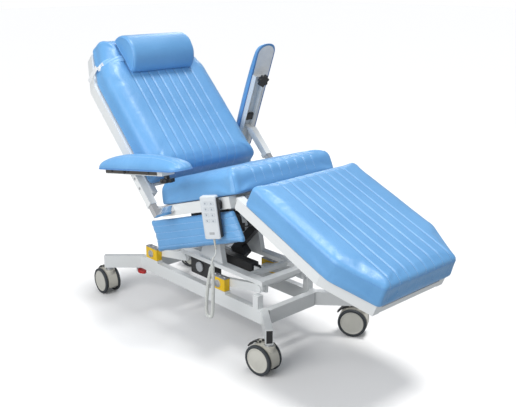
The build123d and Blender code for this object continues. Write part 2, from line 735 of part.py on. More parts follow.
LEG_LOW = -23.0
LEG_HIGH = 22.3
LEG_KINK = 470.0
LEG_END = 673.0
with BuildPart(LEG) as legrest_frame:
    for _, side in SIDES:
        outer = [
            (side * RAIL_OUT, -10), (side * RAIL_OUT, -LEG_KINK), (side * 203, -LEG_END),
            (side * 168, -LEG_END), (side * RAIL_IN, -LEG_KINK + 7), (side * RAIL_IN, -10),
        ]
        inner = [
            (side * (RAIL_OUT - TUBE_WALL), -10 - TUBE_WALL),
            (side * (RAIL_OUT - TUBE_WALL), -LEG_KINK),
            (side * (203 - TUBE_WALL), TUBE_WALL - LEG_END),
            (side * (168 + TUBE_WALL), TUBE_WALL - LEG_END),
            (side * (RAIL_IN + TUBE_WALL), -LEG_KINK + 7),
            (side * (RAIL_IN + TUBE_WALL), -10 - TUBE_WALL),
        ]
        prism(LEG, outer, LEG_LOW, LEG_HIGH)
        prism(LEG, inner, LEG_LOW + TUBE_WALL, LEG_HIGH - TUBE_WALL, mode=Mode.SUBTRACT)
        block(mirrored(side, 251, 263), (-14, 0), (-13, 13))
        cross_rod(mirrored(side, 251, 263), 0, 0, 13)
        cross_rod(mirrored(side, 251, 263), 0, 0, 7 + RUNNING, mode=Mode.SUBTRACT)
    for start in (-130.0, -400.0):
        block((-RAIL_IN, RAIL_IN), (start, start + 30), (-20, 5))
    block((-174, 174), (-LEG_END, 30 - LEG_END), (-20, 5))
    lever_along, lever_height = in_plane(LEG, LEG_EYE)
    for low, high in CHEEKS:
        with BuildSketch(side_view(KNEE_Y, KNEE_Z, LEG_DROP, LEG_X + low)):
            with BuildLine():
                Polyline(
                    (-130, -18), (-100, -18), (lever_along + 12, lever_height + 8),
                    (lever_along + 8, lever_height - 8), (lever_along - 8, lever_height - 8),
                    close=True,
                )
            make_face()
        extrude(amount=high - low)
    cross_rod((LEG_X - 16, LEG_X + 16), lever_along, lever_height, PUSH_PIN_R)
save(legrest_frame, "legrest_frame")

with BuildPart(LEG) as legrest_cushion:
    outline = [(294, -46), (294, -510), (212, -690), (-212, -690), (-294, -510), (-294, -46)]
    prism(LEG, outline, 23, 123)
save(legrest_cushion, "legrest_cushion")

# =============================== armrests ===================================================

def post_point(along, ahead=0.0):
    """A (Y, Z) point on a post's axis, measured along it from the backrest hinge."""
    lean = radians(BACK_ANGLE)
    rise = POST_RISE + ahead
    return (
        BACK_Y + along * cos(lean) - rise * sin(lean),
        BACK_Z + along * sin(lean) + rise * cos(lean),
    )


STEM_FOOT = -72.0
STEM_TOP = 132.0
with BuildPart() as armrest_mounts:
    for _, side in SIDES:
        post_view = side_view(*post_point(0), BACK_ANGLE, side * POST_X)
        with BuildSketch(post_view):
            with Locations(((STEM_FOOT + STEM_TOP) / 2, 0)):
                Rectangle(STEM_TOP - STEM_FOOT, 2 * STEM_HALF)
        extrude(amount=STEM_HALF, both=True)
        arm_view = side_view(*post_point(STEM_FOOT + 14), BACK_ANGLE, side * RAIL_OUT)
        with BuildSketch(arm_view):
            Rectangle(26, 26)
        extrude(amount=side * (POST_X - STEM_HALF - RAIL_OUT))
save(armrest_mounts, "armrest_mounts")

PIVOT_AHEAD = 32.0          # pad pivot beyond the post's end, and behind its axis
PIVOT_BEHIND = 22.0
CHANNEL_X = (334.0, 394.0)
CHANNEL_LOW = -11.0
CHANNEL_PLATE = 12.0
PAD_UNDER = 15.0
PAD_TOP = 70.0
KNOB_AT = 258.0

for name, side in SIDES:
    foot = RIGHT_POST_FOOT if name == "right" else LEFT_POST_FOOT
    pad_angle = 180 - PAD_TILT if name == "right" else LEFT_PAD_ANGLE
    head = foot + POST_LENGTH
    pivot = post_point(head + PIVOT_AHEAD, -PIVOT_BEHIND)
    post_view = side_view(*post_point(0), BACK_ANGLE, side * POST_X)
    with BuildPart() as armrest_post:
        with BuildSketch(post_view):
            with Locations(((foot + head) / 2, 0)):
                Rectangle(POST_LENGTH, 2 * POST_HALF)
        extrude(amount=POST_HALF, both=True)
        with BuildSketch(post_view):
            with Locations(((foot + head) / 2 - 4, 0)):
                Rectangle(POST_LENGTH, 2 * STEM_HALF + 0.4)
        extrude(amount=STEM_HALF + 0.2, both=True, mode=Mode.SUBTRACT)
        # lug that carries the pad's pivot
        with BuildSketch(post_view):
            with BuildLine():
                Polyline(
                    (head - 4, -POST_HALF), (head - 4, 4), (head + 10, 0),
                    (head + PIVOT_AHEAD, 8 - PIVOT_BEHIND), (head + PIVOT_AHEAD, -8 - PIVOT_BEHIND),
                    close=True,
                )
            make_face()
            with Locations((head + PIVOT_AHEAD, -PIVOT_BEHIND)):
                Circle(9.5)
        extrude(amount=12, both=True)
        with BuildSketch(post_view):
            with Locations((head + PIVOT_AHEAD, -PIVOT_BEHIND)):
                Circle(5 + RUNNING)
        extrude(amount=12, both=True, mode=Mode.SUBTRACT)
        # clamp knob boss at the foot of the post
        with BuildSketch(side_view(*post_point(foot + 12, -POST_HALF - 7), BACK_ANGLE, side * POST_X)):
            Rectangle(20, 14)
        extrude(amount=9, both=True)
    save(armrest_post, f"armrest_post_{name}")

    pad_view = side_view(*pivot, pad_angle)
    up = -1                 # the pad lies on the side of the pivot away from the floor
    with BuildPart() as armrest_channel:
        with BuildSketch(side_view(*pivot, pad_angle, side * CHANNEL_X[0])):
            with Locations((61, up * (CHANNEL_LOW + PAD_UNDER) / 2)):
                Rectangle(418, PAD_UNDER - CHANNEL_LOW)
        extrude(amount=side * (CHANNEL_X[1] - CHANNEL_X[0]))
        with BuildSketch(side_view(*pivot, pad_angle, side * (CHANNEL_X[0] + 3))):
            with Locations((60, up * (CHANNEL_LOW - 5 + CHANNEL_PLATE) / 2)):
                Rectangle(424, CHANNEL_PLATE - CHANNEL_LOW + 5)
        extrude(amount=side * (CHANNEL_X[1] - CHANNEL_X[0] - 6), mode=Mode.SUBTRACT)
        # nose block at the front end, threaded for the star knob
        with BuildSketch(side_view(*pivot, pad_angle, side * (CHANNEL_X[0] + 3))):
            with Locations((KNOB_AT, up * (CHANNEL_LOW + CHANNEL_PLATE) / 2)):
                Rectangle(24, CHANNEL_PLATE - CHANNEL_LOW)
        extrude(amount=side * (CHANNEL_X[1] - CHANNEL_X[0] - 6))
        with BuildSketch(side_view(*pivot, pad_angle, side * CHANNEL_X[0])):
            Circle(5)
        extrude(amount=side * (CHANNEL_X[1] - CHANNEL_X[0]))
        knob_axis = Plane(
            origin=pad_view.from_local_coords((KNOB_AT, up * CHANNEL_PLATE, side * POST_X)),
            z_dir=pad_view.y_dir,
        )
        with BuildSketch(knob_axis):
            Circle(5 + RUNNING)
        extrude(amount=CHANNEL_PLATE - CHANNEL_LOW, mode=Mode.SUBTRACT)
    save(armrest_channel, f"armrest_channel_{name}")

    with BuildPart() as armrest_pad:
        pad_plane = Plane(
            origin=pad_view.from_local_coords((132, up * PAD_UNDER, side * PAD_X)),
            x_dir=pad_view.x_dir,
            z_dir=pad_view.y_dir * up,
        )
        with BuildSketch(pad_plane):
            RectangleRounded(575, 2 * PAD_HALF, 50)
        extrude(amount=PAD_TOP - PAD_UNDER - 15)
        top = armrest_pad.faces().sort_by(Axis(pad_plane.origin, pad_plane.z_dir))[-1]
        fillet(top.edges(), radius=18)
    save(armrest_pad, f"armrest_pad_{name}")

    with BuildPart() as armrest_knob:
        with BuildSketch(knob_axis):
            Circle(5)
        extrude(amount=CHANNEL_PLATE - CHANNEL_LOW + 14)
        with BuildSketch(knob_axis.offset(CHANNEL_PLATE - CHANNEL_LOW + 1)):
            Circle(11)
        extrude(amount=13)
        with BuildSketch(knob_axis.offset(CHANNEL_PLATE - CHANNEL_LOW + 14)):
            Circle(24)
            with PolarLocations(23, 7):
                Circle(7)
        extrude(amount=15)
    save(armrest_knob, f"armrest_knob_{name}")

# =============================== handset and cord ===========================================

HEADING = radians(HANDSET_HEADING)
across = Vector(sin(HEADING), -cos(HEADING), 0)
facing = across.cross(Vector(0, 0, 1))
lean_turn = radians(HANDSET_LEAN)
handset_x = across * cos(lean_turn) + Vector(0, 0, 1) * sin(lean_turn)
HANDSET = Plane(origin=HANDSET_TOP, x_dir=handset_x, z_dir=facing)
BUTTON = (21.0, 15.0)
BUTTON_ROWS = 4


def button_centres():
    for row in range(BUTTON_ROWS):
        for column in (-1, 1):
            yield column * 12.5, -28 - row * 23


with BuildPart() as handset_shell:
    with BuildSketch(HANDSET.offset(-HANDSET_DEEP)):
        with Locations((0, -HANDSET_LONG / 2)):
            RectangleRounded(HANDSET_WIDE, HANDSET_LONG, 6)
    extrude(amount=HANDSET_DEEP)
    chamfer(handset_shell.faces().sort_by(Axis(HANDSET.origin, HANDSET.z_dir))[-1].edges(), length=2.5)
    for x, y in button_centres():
        with BuildSketch(HANDSET):
            with Locations((x, y)):
                RectangleRounded(BUTTON[0] + 1, BUTTON[1] + 1, 4.5)
        extrude(amount=-4, mode=Mode.SUBTRACT)
save(handset_shell, "handset_shell")

for number, (x, y) in enumerate(button_centres(), start=1):
    with BuildPart() as handset_button:
        with BuildSketch(HANDSET.offset(-2.5)):
            with Locations((x, y)):
                RectangleRounded(BUTTON[0], BUTTON[1], 4)
        extrude(amount=3.3)
    save(handset_button, f"handset_button_{number}")

hook_foot = HANDSET.from_local_coords((0, -36, -HANDSET_DEEP))
with BuildPart() as handset_hook:
    with BuildSketch(Plane(origin=(-RAIL_OUT, -124, 648), x_dir=(0, 1, 0), z_dir=(-1, 0, 0))):
        RectangleRounded(34, 34, 9)
    extrude(amount=13)
    with BuildSketch(Plane(origin=(-RAIL_OUT, -102, 648), x_dir=(0, 1, 0), z_dir=(-1, 0, 0))):
        Rectangle(50, 16)
    extrude(amount=8)
save(handset_hook, "handset_hook")

RELIEF_LONG = 44.0
relief_top = HANDSET.from_local_coords((0, -HANDSET_LONG, -HANDSET_DEEP / 2))
down = -HANDSET.y_dir
with BuildPart() as strain_relief:
    with BuildSketch(Plane(origin=relief_top, z_dir=down)):
        Circle(4.5)
    with BuildSketch(Plane(origin=relief_top + down * RELIEF_LONG, z_dir=down)):
        Circle(2.6)
    loft()
save(strain_relief, "strain_relief")

relief_end = relief_top + down * RELIEF_LONG
GLAND = SEAT.from_local_coords((-215, 228, CONTROL_BOX[2][0]))
CURL_ROUTE = [
    (-313, -112, 414),
    (-313, -115.5, 372),
    (-313, -114.5, 322),
    (-313, -112, 268),
    (-313, -109.5, 226),
    (-313, -107.5, 200),
    (-313, -104, 182),
    (-313, -94, 172),
    (-313, -80, 172),
    (-313, -70, 182),
    (-313, -68.5, 200),
    (-313, -69.5, 226),
    (-313, -74.5, 268),
    (-312.5, -82.5, 318),
    (-312, -93, 360),
    (-310, -101, 392),
]
UPPER_ROUTE = [
    tuple(relief_end),
    tuple(relief_end + down * 16),
    (-313, -128, 446),
    (-313, -110.8, 428),
    CURL_ROUTE[0],
]
LOWER_ROUTE = [
    CURL_ROUTE[-1],
    (-309, -105, 408),
    (-296, -103, 430),
    (-272, -84, 440),
    (-248, -54, 446),
    (-228, -24, 470),
    (-217, -6, 500),
    tuple(GLAND),
]


def arc_radii(route):
    """Largest arcs that the runs allow: 0.45 of the shorter run over tan of half the turn."""
    points = [Vector(*point) for point in route]
    runs = [after - before for before, after in zip(points, points[1:])]
    radii = []
    for before, after in zip(runs, runs[1:]):
        half_turn = radians(before.get_angle(after)) / 2
        radii.append(0.45 * min(before.length, after.length) / tan(half_turn))
    return radii


def cord_tube(route, radius):
    """A round tube along a route, in straight runs joined by arcs."""
    radii = arc_radii(route)
    print("arc radii", [round(one, 1) for one in radii])
    with BuildLine() as line:
        FilletPolyline(*route, radius=radii)
    with BuildSketch(Plane(origin=line.line @ 0, z_dir=line.line % 0)) as section:
        Circle(radius)
    sweep(section.sketch, path=line.line)
    length = line.wire().length
    print("length", round(length, 1), "section times length", round(pi * radius**2 * length))


with BuildPart() as handset_cord:
    cord_tube(UPPER_ROUTE, CORD_R)
    cord_tube(LOWER_ROUTE, CORD_R)
save(handset_cord, "handset_cord")
print("cord volume", round(handset_cord.part.volume))

with BuildPart() as handset_cord_curl:
    cord_tube(CURL_ROUTE, CURL_R)
save(handset_cord_curl, "handset_cord_curl")
print("curl volume", round(handset_cord_curl.part.volume))
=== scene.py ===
import json
import math
import bmesh
import bpy
import numpy as np
from mathutils import Matrix, Vector, noise
from mathutils.bvhtree import BVHTree


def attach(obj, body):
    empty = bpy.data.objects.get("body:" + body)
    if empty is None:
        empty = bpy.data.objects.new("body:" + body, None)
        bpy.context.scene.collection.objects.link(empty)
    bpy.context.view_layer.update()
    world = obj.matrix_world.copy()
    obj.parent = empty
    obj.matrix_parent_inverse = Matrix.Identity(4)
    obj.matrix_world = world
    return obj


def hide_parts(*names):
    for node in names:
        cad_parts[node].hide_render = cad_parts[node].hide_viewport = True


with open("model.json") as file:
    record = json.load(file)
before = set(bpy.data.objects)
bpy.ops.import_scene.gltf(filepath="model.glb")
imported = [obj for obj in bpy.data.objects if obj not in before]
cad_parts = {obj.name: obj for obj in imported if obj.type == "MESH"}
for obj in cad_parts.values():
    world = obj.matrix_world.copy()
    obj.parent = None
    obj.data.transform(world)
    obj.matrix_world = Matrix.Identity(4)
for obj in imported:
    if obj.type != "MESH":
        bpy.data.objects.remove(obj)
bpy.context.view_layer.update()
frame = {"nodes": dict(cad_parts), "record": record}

CENTRE_Y = 12.95            # the row's origin is under the middle of the length


def at(x, y, z):
    """A point of the row frame from millimetres, measured from the source's own origin."""
    return Vector((x, y + CENTRE_Y, z)) * 0.001


def in_scene(name, data):
    """A new object in the scene with that data."""
    obj = bpy.data.objects.new(name, data)
    bpy.context.scene.collection.objects.link(obj)
    return obj


def aimed(direction):
    """The turn that points a camera or lamp along a direction."""
    return direction.to_track_quat("-Z", "Y").to_euler()


# ---------------------------------- camera
CAMERA_LENS, CAMERA_SENSOR = 53.14, 36.0
CAMERA_PLACE = at(-2077.3, -2283.3, 1502.1)
CAMERA_LOOKS = Vector((0.64967, 0.70252, -0.29051))
camera_data = bpy.data.cameras.new("camera")
camera_data.lens = CAMERA_LENS
camera_data.sensor_width = CAMERA_SENSOR
camera = in_scene("camera", camera_data)
camera.location = CAMERA_PLACE
camera.rotation_euler = aimed(CAMERA_LOOKS)
camera_data.clip_end = 60
bpy.context.scene.camera = camera

# ---------------------------------- planes of the CAD
SEAT_POINT, SEAT_ANGLE = (-186.8, 692.8), -17.4
BACK_POINT, BACK_ANGLE = (287.3, 533.8), 45.3
LEG_POINT, LEG_ANGLE = (-212.5, 677.0), 23.0


def parts_of(point, angle):
    """Cosine and sine of the angle in degrees, and the point's place in the row frame."""
    return math.cos(math.radians(angle)), math.sin(math.radians(angle)), point[0] + CENTRE_Y, point[1]


def across(point, angle):
    """Local x = world X, y = along the angle, z = the normal. Millimetres in, metres out."""
    c, s, y, z = parts_of(point, angle)
    return Matrix(((1, 0, 0, 0), (0, c, -s, y), (0, s, c, z), (0, 0, 0, 1000))) * 0.001


def sideways(point, angle, x, side=1):
    """Local x = along the angle, y = its normal, z = outward from x on that side."""
    c, s, y, z = parts_of(point, angle)
    return Matrix(((0, 0, side, side * x), (c, -s, 0, y), (s, c, 0, z), (0, 0, 0, 1000))) * 0.001


SIDES = (("right", -1), ("left", 1))
SEAT = across(SEAT_POINT, SEAT_ANGLE)
BACK = across(BACK_POINT, BACK_ANGLE)
LEG = across(LEG_POINT, LEG_ANGLE)

# ---------------------------------- materials


class Shader:
    """A short way to build a node material."""

    def __init__(self, name, **principled):
        self.material = bpy.data.materials.new(name)
        self.material.use_nodes = True
        self.tree = self.material.node_tree
        self.bsdf = self.tree.nodes["Principled BSDF"]
        for key, value in principled.items():
            self.bsdf.inputs[key.replace("_", " ").title().replace("Ior", "IOR")].default_value = value
        self.place = self.tree.nodes.new("ShaderNodeTexCoord").outputs["Object"]

    def link(self, a, b):
        self.tree.links.new(a, b)

    def node(self, kind, **values):
        made = self.tree.nodes.new(kind)
        for key, value in values.items():
            if key in made.inputs:
                made.inputs[key].default_value = value
            else:
                setattr(made, key, value)
        return made

    def noise(self, scale, detail=3.0, roughness=0.5, stretch=None):
        made = self.node("ShaderNodeTexNoise", Scale=scale, Detail=detail, Roughness=roughness)
        place = self.place
        if stretch:
            mapping = self.node("ShaderNodeMapping", Scale=stretch)
            self.link(place, mapping.inputs["Vector"])
            place = mapping.outputs["Vector"]
        self.link(place, made.inputs["Vector"])
        return made.outputs["Fac"]

    def cells(self, scale):
        made = self.node("ShaderNodeTexVoronoi", feature="DISTANCE_TO_EDGE", Scale=scale)
        self.link(self.place, made.inputs["Vector"])
        return made.outputs["Distance"]

    def level(self, source, low, high, start=0.0, end=1.0):
        """The source's span from start to end, turned into low to high."""
        made = self.node("ShaderNodeMapRange")
        for socket, value in (("From Min", start), ("From Max", end), ("To Min", low), ("To Max", high)):
            made.inputs[socket].default_value = value
        self.link(source, made.inputs["Value"])
        return made.outputs["Result"]

    def mix(self, a, b, share):
        made = self.node("ShaderNodeMix", data_type="RGBA", blend_type="MIX")
        for socket, value in ((made.inputs[0], share), (made.inputs[6], a), (made.inputs[7], b)):
            if isinstance(value, (tuple, float, int)):
                socket.default_value = (*value, 1) if isinstance(value, tuple) else value
            else:
                self.link(value, socket)
        return made.outputs[2]

    def bump(self, heights):
        """A chain of bumps from (height socket, depth in metres)."""
        normal = None
        for height, depth in heights:
            made = self.node("ShaderNodeBump", Strength=1.0, Distance=depth)
            self.link(height, made.inputs["Height"])
            if normal:
                self.link(normal, made.inputs["Normal"])
            normal = made.outputs["Normal"]
        self.link(normal, self.bsdf.inputs["Normal"])

    def colour(self, socket):
        self.link(socket, self.bsdf.inputs["Base Color"])

    def rough(self, socket):
        self.link(socket, self.bsdf.inputs["Roughness"])


def leatherette(name, deep, light, gloss=0.42):
    look = Shader(name, coat_weight=0.12, coat_roughness=0.28, sheen_weight=0.05)
    cloud = look.noise(5.0, 4.0, 0.6)
    fleck = look.noise(240.0, 2.0, 0.6)
    base = look.mix(deep, light, look.level(cloud, 0.1, 0.9, 0.3, 0.7))
    # painted highlight: convex edges of the cover (high pointiness) are mixed toward a paler blue
    edge_highlight = look.level(look.node("ShaderNodeNewGeometry").outputs["Pointiness"], 0.0, 0.5, 0.5, 0.62)
    pale = tuple(min(1.0, c * 1.25 + 0.05) for c in light)
    look.colour(look.mix(look.mix(base, pale, edge_highlight), deep, look.level(fleck, 0.0, 0.22, 0.45, 0.8)))
    look.rough(look.level(look.noise(60.0, 3.0, 0.6), gloss - 0.07, gloss + 0.1, 0.3, 0.7))
    look.bump([
        (look.cells(520.0), 0.00028),
        (look.noise(1500.0, 2.0, 0.6), 0.00012),
        (look.noise(38.0, 3.0, 0.55), 0.0012),
    ])
    return look.material


# grey used both for random dirt patches and for painted shade in the creases of the powder coat
GRIME_AND_SHADE = (0.62, 0.64, 0.66)


def painted(name, base, rough=0.34):
    look = Shader(name, coat_weight=0.25, coat_roughness=0.22)
    patch = look.level(look.noise(14.0, 5.0, 0.65), 0.0, 0.16, 0.55, 0.85)
    # painted shade: concave creases and inner corners (low pointiness) are mixed toward the grey
    edge = look.level(look.node("ShaderNodeNewGeometry").outputs["Pointiness"], 0.0, 0.3, 0.49, 0.40)
    look.colour(look.mix(look.mix(base, GRIME_AND_SHADE, patch), GRIME_AND_SHADE, edge))
    look.rough(look.level(look.noise(120.0, 2.0), rough - 0.05, rough + 0.08, 0.3, 0.7))
    look.bump([(look.noise(420.0, 2.0, 0.5), 0.00022), (look.noise(25.0, 2.0, 0.5), 0.0004)])
    return look.material


def plastic(name, base, rough=0.45, grain=900.0, depth=0.00012, tint=0.8, coat=0.0):
    look = Shader(name, coat_weight=coat, coat_roughness=0.2)
    dark = tuple(c * tint for c in base)
    look.colour(look.mix(base, dark, look.level(look.noise(30.0, 4.0, 0.6), 0.0, 0.7, 0.4, 0.75)))
    look.rough(look.level(look.noise(150.0, 2.0), rough - 0.06, rough + 0.08, 0.3, 0.7))
    look.bump([(look.noise(grain, 2.0, 0.5), depth)])
    return look.material


def metal(name, base, rough, stretch=(1.0, 1.0, 1.0), scratch=0.00006):
    look = Shader(name, metallic=1.0)
    lines = look.noise(260.0, 3.0, 0.6, stretch)
    dark = tuple(c * 0.72 for c in base)
    look.colour(look.mix(base, dark, look.level(lines, 0.0, 0.5, 0.4, 0.8)))
    look.rough(look.level(lines, rough - 0.05, rough + 0.12, 0.3, 0.7))
    look.bump([(lines, scratch)])
    return look.material


def cloth_white(name):
    look = Shader(name, sheen_weight=0.2)
    weave = look.noise(900.0, 2.0, 0.5, (1.0, 0.25, 1.0))
    shade = look.level(look.noise(22.0, 4.0), 0.0, 0.8, 0.35, 0.75)
    look.colour(look.mix((0.80, 0.82, 0.84), (0.66, 0.69, 0.73), shade))
    look.rough(look.level(weave, 0.7, 0.9))
    look.bump([(weave, 0.0003), (look.noise(45.0, 3.0), 0.0015)])
    return look.material


def rubber(name):
    look = Shader(name)
    look.colour(look.mix((0.02, 0.02, 0.022), (0.06, 0.06, 0.062), look.noise(90.0, 3.0)))
    look.rough(look.level(look.noise(200.0), 0.4, 0.6))
    look.bump([(look.noise(700.0), 0.0002)])
    return look.material


BLUE = leatherette("blue_leatherette_look", (0.115, 0.33, 0.64), (0.155, 0.395, 0.72), 0.36)
BLUE_DEEP = leatherette("blue_binding_look", (0.06, 0.2, 0.5), (0.09, 0.26, 0.58))
STRAP_BLUE = leatherette("pale_strap_look", (0.16, 0.40, 0.72), (0.24, 0.48, 0.78))
WHITE = painted("powder_coat_look", (0.74, 0.765, 0.775))
BLACK = plastic("black_plastic_look", (0.018, 0.018, 0.02), 0.42, coat=0.1)
CASTING = plastic("black_housing_look", (0.03, 0.03, 0.032), 0.5, 500.0, 0.0002)
YELLOW = plastic("yellow_plastic_look", (0.88, 0.56, 0.004), 0.38, coat=0.15)
RED = plastic("red_pedal_look", (0.5, 0.02, 0.02), 0.35, coat=0.3)
CREAM = plastic("cream_plastic_look", (0.60, 0.585, 0.52), 0.4, 700.0, 0.00012, 0.85, 0.1)
DISC = plastic("caster_disc_look", (0.60, 0.595, 0.545), 0.4, 600.0, 0.0001, 0.9, 0.1)
TYRE = plastic("tyre_look", (0.045, 0.052, 0.06), 0.55, 500.0, 0.0003, 0.7)
GREY = plastic("grey_plastic_look", (0.66, 0.70, 0.74), 0.36, 900.0, 0.00008, 0.93, 0.1)
BUTTON_LOOK = plastic("button_look", (0.60, 0.645, 0.69), 0.42, 900.0, 0.00006, 0.95)
PRINT = plastic("print_look", (0.20, 0.24, 0.30), 0.5, 900.0, 0.00003)
MOTOR = plastic("motor_grey_look", (0.42, 0.44, 0.46), 0.45, 600.0, 0.00015, 0.85)
PLATE = plastic("grey_plate_look", (0.33, 0.34, 0.36), 0.45, 600.0, 0.00015, 0.7)
CORD = plastic("cord_look", (0.70, 0.72, 0.70), 0.42, 900.0, 0.00006, 0.9, 0.1)
STEEL = metal("steel_look", (0.62, 0.63, 0.65), 0.28, (1.0, 8.0, 8.0))
CHROME = metal("chrome_look", (0.78, 0.79, 0.81), 0.12, (3.0, 3.0, 3.0), 0.00002)
DARK_STEEL = metal("dark_steel_look", (0.14, 0.13, 0.12), 0.35, (1.0, 6.0, 6.0))
LINER = cloth_white("white_liner_look")
ELASTIC = cloth_white("white_elastic_look")
THREAD = plastic("thread_look", (0.36, 0.58, 0.85), 0.5, 1500.0, 0.0002, 0.9)
CABLE = rubber("black_cable_look")


def dress(obj, material):
    """Gives the object this one material."""
    obj.data.materials.clear()
    obj.data.materials.append(material)


# ---------------------------------- mesh helpers


def piece(name, verts, faces, place, body, material, slot=None, stands_for=(), smooth=True, sharp=35):
    """A mesh from millimetre points in a local plane, riding on a body."""
    mesh = bpy.data.meshes.new(name)
    mesh.from_pydata([place @ Vector(v) for v in verts], [], faces)
    obj = in_scene(name, mesh)
    tidy(mesh)
    finish_piece(obj, body, material, stands_for, smooth, sharp)
    return obj


def tidy(mesh):
    """Turns all faces outward."""
    bm = bmesh.new()
    bm.from_mesh(mesh)
    bmesh.ops.recalc_face_normals(bm, faces=bm.faces)
    bm.to_mesh(mesh)
    bm.free()


def finish_piece(obj, body, material, stands_for=(), smooth=True, sharp=35):
    """Dresses a piece, hides the CAD parts it stands for and hangs it on the body it rides on."""
    dress(obj, material)
    if smooth and obj.type == "MESH":
        obj.data.shade_smooth()
        if sharp:
            obj.data.set_sharp_from_angle(angle=math.radians(sharp))
    if stands_for:
        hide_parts(*stands_for)
    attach(obj, body)


def rings_mesh(rings, cap=True):
    """Faces between closed rings of equal length, with capped ends."""
    n = len(rings[0])
    verts = [tuple(v) for ring in rings for v in ring]
    faces = []
    for k in range(len(rings) - 1):
        for i in range(n):
            j = (i + 1) % n
            faces.append((k * n + i, k * n + j, (k + 1) * n + j, (k + 1) * n + i))
    if cap:
        faces.append(tuple(range(n))[::-1])
        faces.append(tuple((len(rings) - 1) * n + i for i in range(n)))
    return verts, faces


def lathe(profile, segments, cap=True):
    """Rings about local z from (radius, height) pairs."""
    turns = [2 * math.pi * i / segments for i in range(segments)]
    rings = [[(r * math.cos(a), r * math.sin(a), height) for a in turns] for r, height in profile]
    return rings_mesh(rings, cap)


def lathe_loop(profile, segments):
    """A ring of closed cross-section about local z."""
    return lathe(profile + profile[:1], segments, cap=False)


def rounded_outline(points, radius, steps=6):
    """A polygon with its corners rounded; radius is one number or one per corner."""
    out = []
    count = len(points)
    radii = radius if isinstance(radius, (list, tuple)) else [radius] * count
    for i, (p, r) in enumerate(zip(points, radii)):
        p = Vector(p)
        a = Vector(points[i - 1]) - p
        b = Vector(points[(i + 1) % count]) - p
        half = a.angle(b) / 2
        cut = min(r / math.tan(half), 0.48 * a.length, 0.48 * b.length)
        start, end = p + a.normalized() * cut, p + b.normalized() * cut
        for k in range(steps + 1):
            t = k / steps
            out.append(start * (1 - t) ** 2 + p * 2 * t * (1 - t) + end * t * t)
    return out


def inward(outline, distance):
    """The outline moved inward along its own normals."""
    count = len(outline)
    area = sum(outline[i - 1].x * outline[i].y - outline[i].x * outline[i - 1].y for i in range(count))
    turn = 1 if area > 0 else -1
    moved = []
    for i, p in enumerate(outline):
        tangent = (outline[(i + 1) % count] - outline[i - 1]).normalized()
        moved.append(p + Vector((-tangent.y, tangent.x)) * distance * turn)
    return moved


def outline_solid(outline, profile):
    """Rings of the outline at (inset, height) pairs."""
    return rings_mesh([[(p.x, p.y, height) for p in inward(outline, inset)] for inset, height in profile])


def block(size, centre=(0, 0, 0), bevel=1.5):
    """A box with rounded edges, as verts and faces."""
    bm = bmesh.new()
    bmesh.ops.create_cube(bm, size=1)
    bmesh.ops.scale(bm, vec=size, verts=bm.verts)
    bmesh.ops.bevel(bm, geom=bm.edges[:], offset=bevel, segments=3, profile=0.5, affect="EDGES")
    bmesh.ops.translate(bm, vec=centre, verts=bm.verts)
    verts = [tuple(v.co) for v in bm.verts]
    faces = [tuple(v.index for v in f.verts) for f in bm.faces]
    bm.free()
    return verts, faces


def joined(parts):
    """Several (verts, faces) with optional matrices as one."""
    verts, faces = [], []
    for part in parts:
        v, f = part[0], part[1]
        matrix = part[2] if len(part) > 2 else None
        base = len(verts)
        verts += [tuple(matrix @ Vector(p)) if matrix else p for p in v]
        faces += [tuple(i + base for i in face) for face in f]
    return verts, faces


def frame_at(origin, normal, x_hint=(1, 0, 0)):
    """A matrix with local z along the normal, at an origin, in millimetres."""
    z = Vector(normal).normalized()
    x = Vector(x_hint) - z * Vector(x_hint).dot(z)
    if x.length < 1e-6:
        x = Vector((0, 1, 0)) - z * z.y
    x.normalize()
    y = z.cross(x)
    matrix = Matrix.Identity(4)
    for i in range(3):
        matrix[i][0], matrix[i][1], matrix[i][2], matrix[i][3] = x[i], y[i], z[i], origin[i]
    return matrix


MILLI = Matrix.Diagonal((0.001, 0.001, 0.001, 1)) @ Matrix.Translation((0, CENTRE_Y, 0))


def curve_object(name, points, radius, resolution=6, sides=3):
    """A NURBS cord through control points given in metres."""
    data = bpy.data.curves.new(name, "CURVE")
    data.dimensions = "3D"
    data.resolution_u = resolution
    spline = data.splines.new("NURBS")
    spline.points.add(len(points) - 1)
    for point, place in zip(spline.points, points):
        point.co = (*place, 1)
    spline.order_u = 3
    spline.use_endpoint_u = True
    data.bevel_depth = radius
    data.bevel_resolution = sides
    data.use_fill_caps = True
    obj = in_scene(name, data)
    return obj


def spline_points(points, resolution=12):
    """Points of the NURBS spline that has these control points."""
    bare = curve_object("bare", points, 0.0, resolution=resolution)
    mesh = bpy.data.meshes.new_from_object(bare)
    line = [v.co.copy() for v in mesh.vertices]
    bpy.data.meshes.remove(mesh)
    bpy.data.curves.remove(bare.data)
    return line


def run_of(line):
    """The distance along a line of points, at each of its points."""
    return np.concatenate([[0], np.cumsum([(b - a).length for a, b in zip(line, line[1:])])])


def nearest(runs, along):
    """The last point before a distance along a line, and the share of the way to the next one."""
    k = min(int(np.searchsorted(runs, along, side="right")) - 1, len(runs) - 2)
    return k, (along - runs[k]) / max(runs[k + 1] - runs[k], 1e-9)


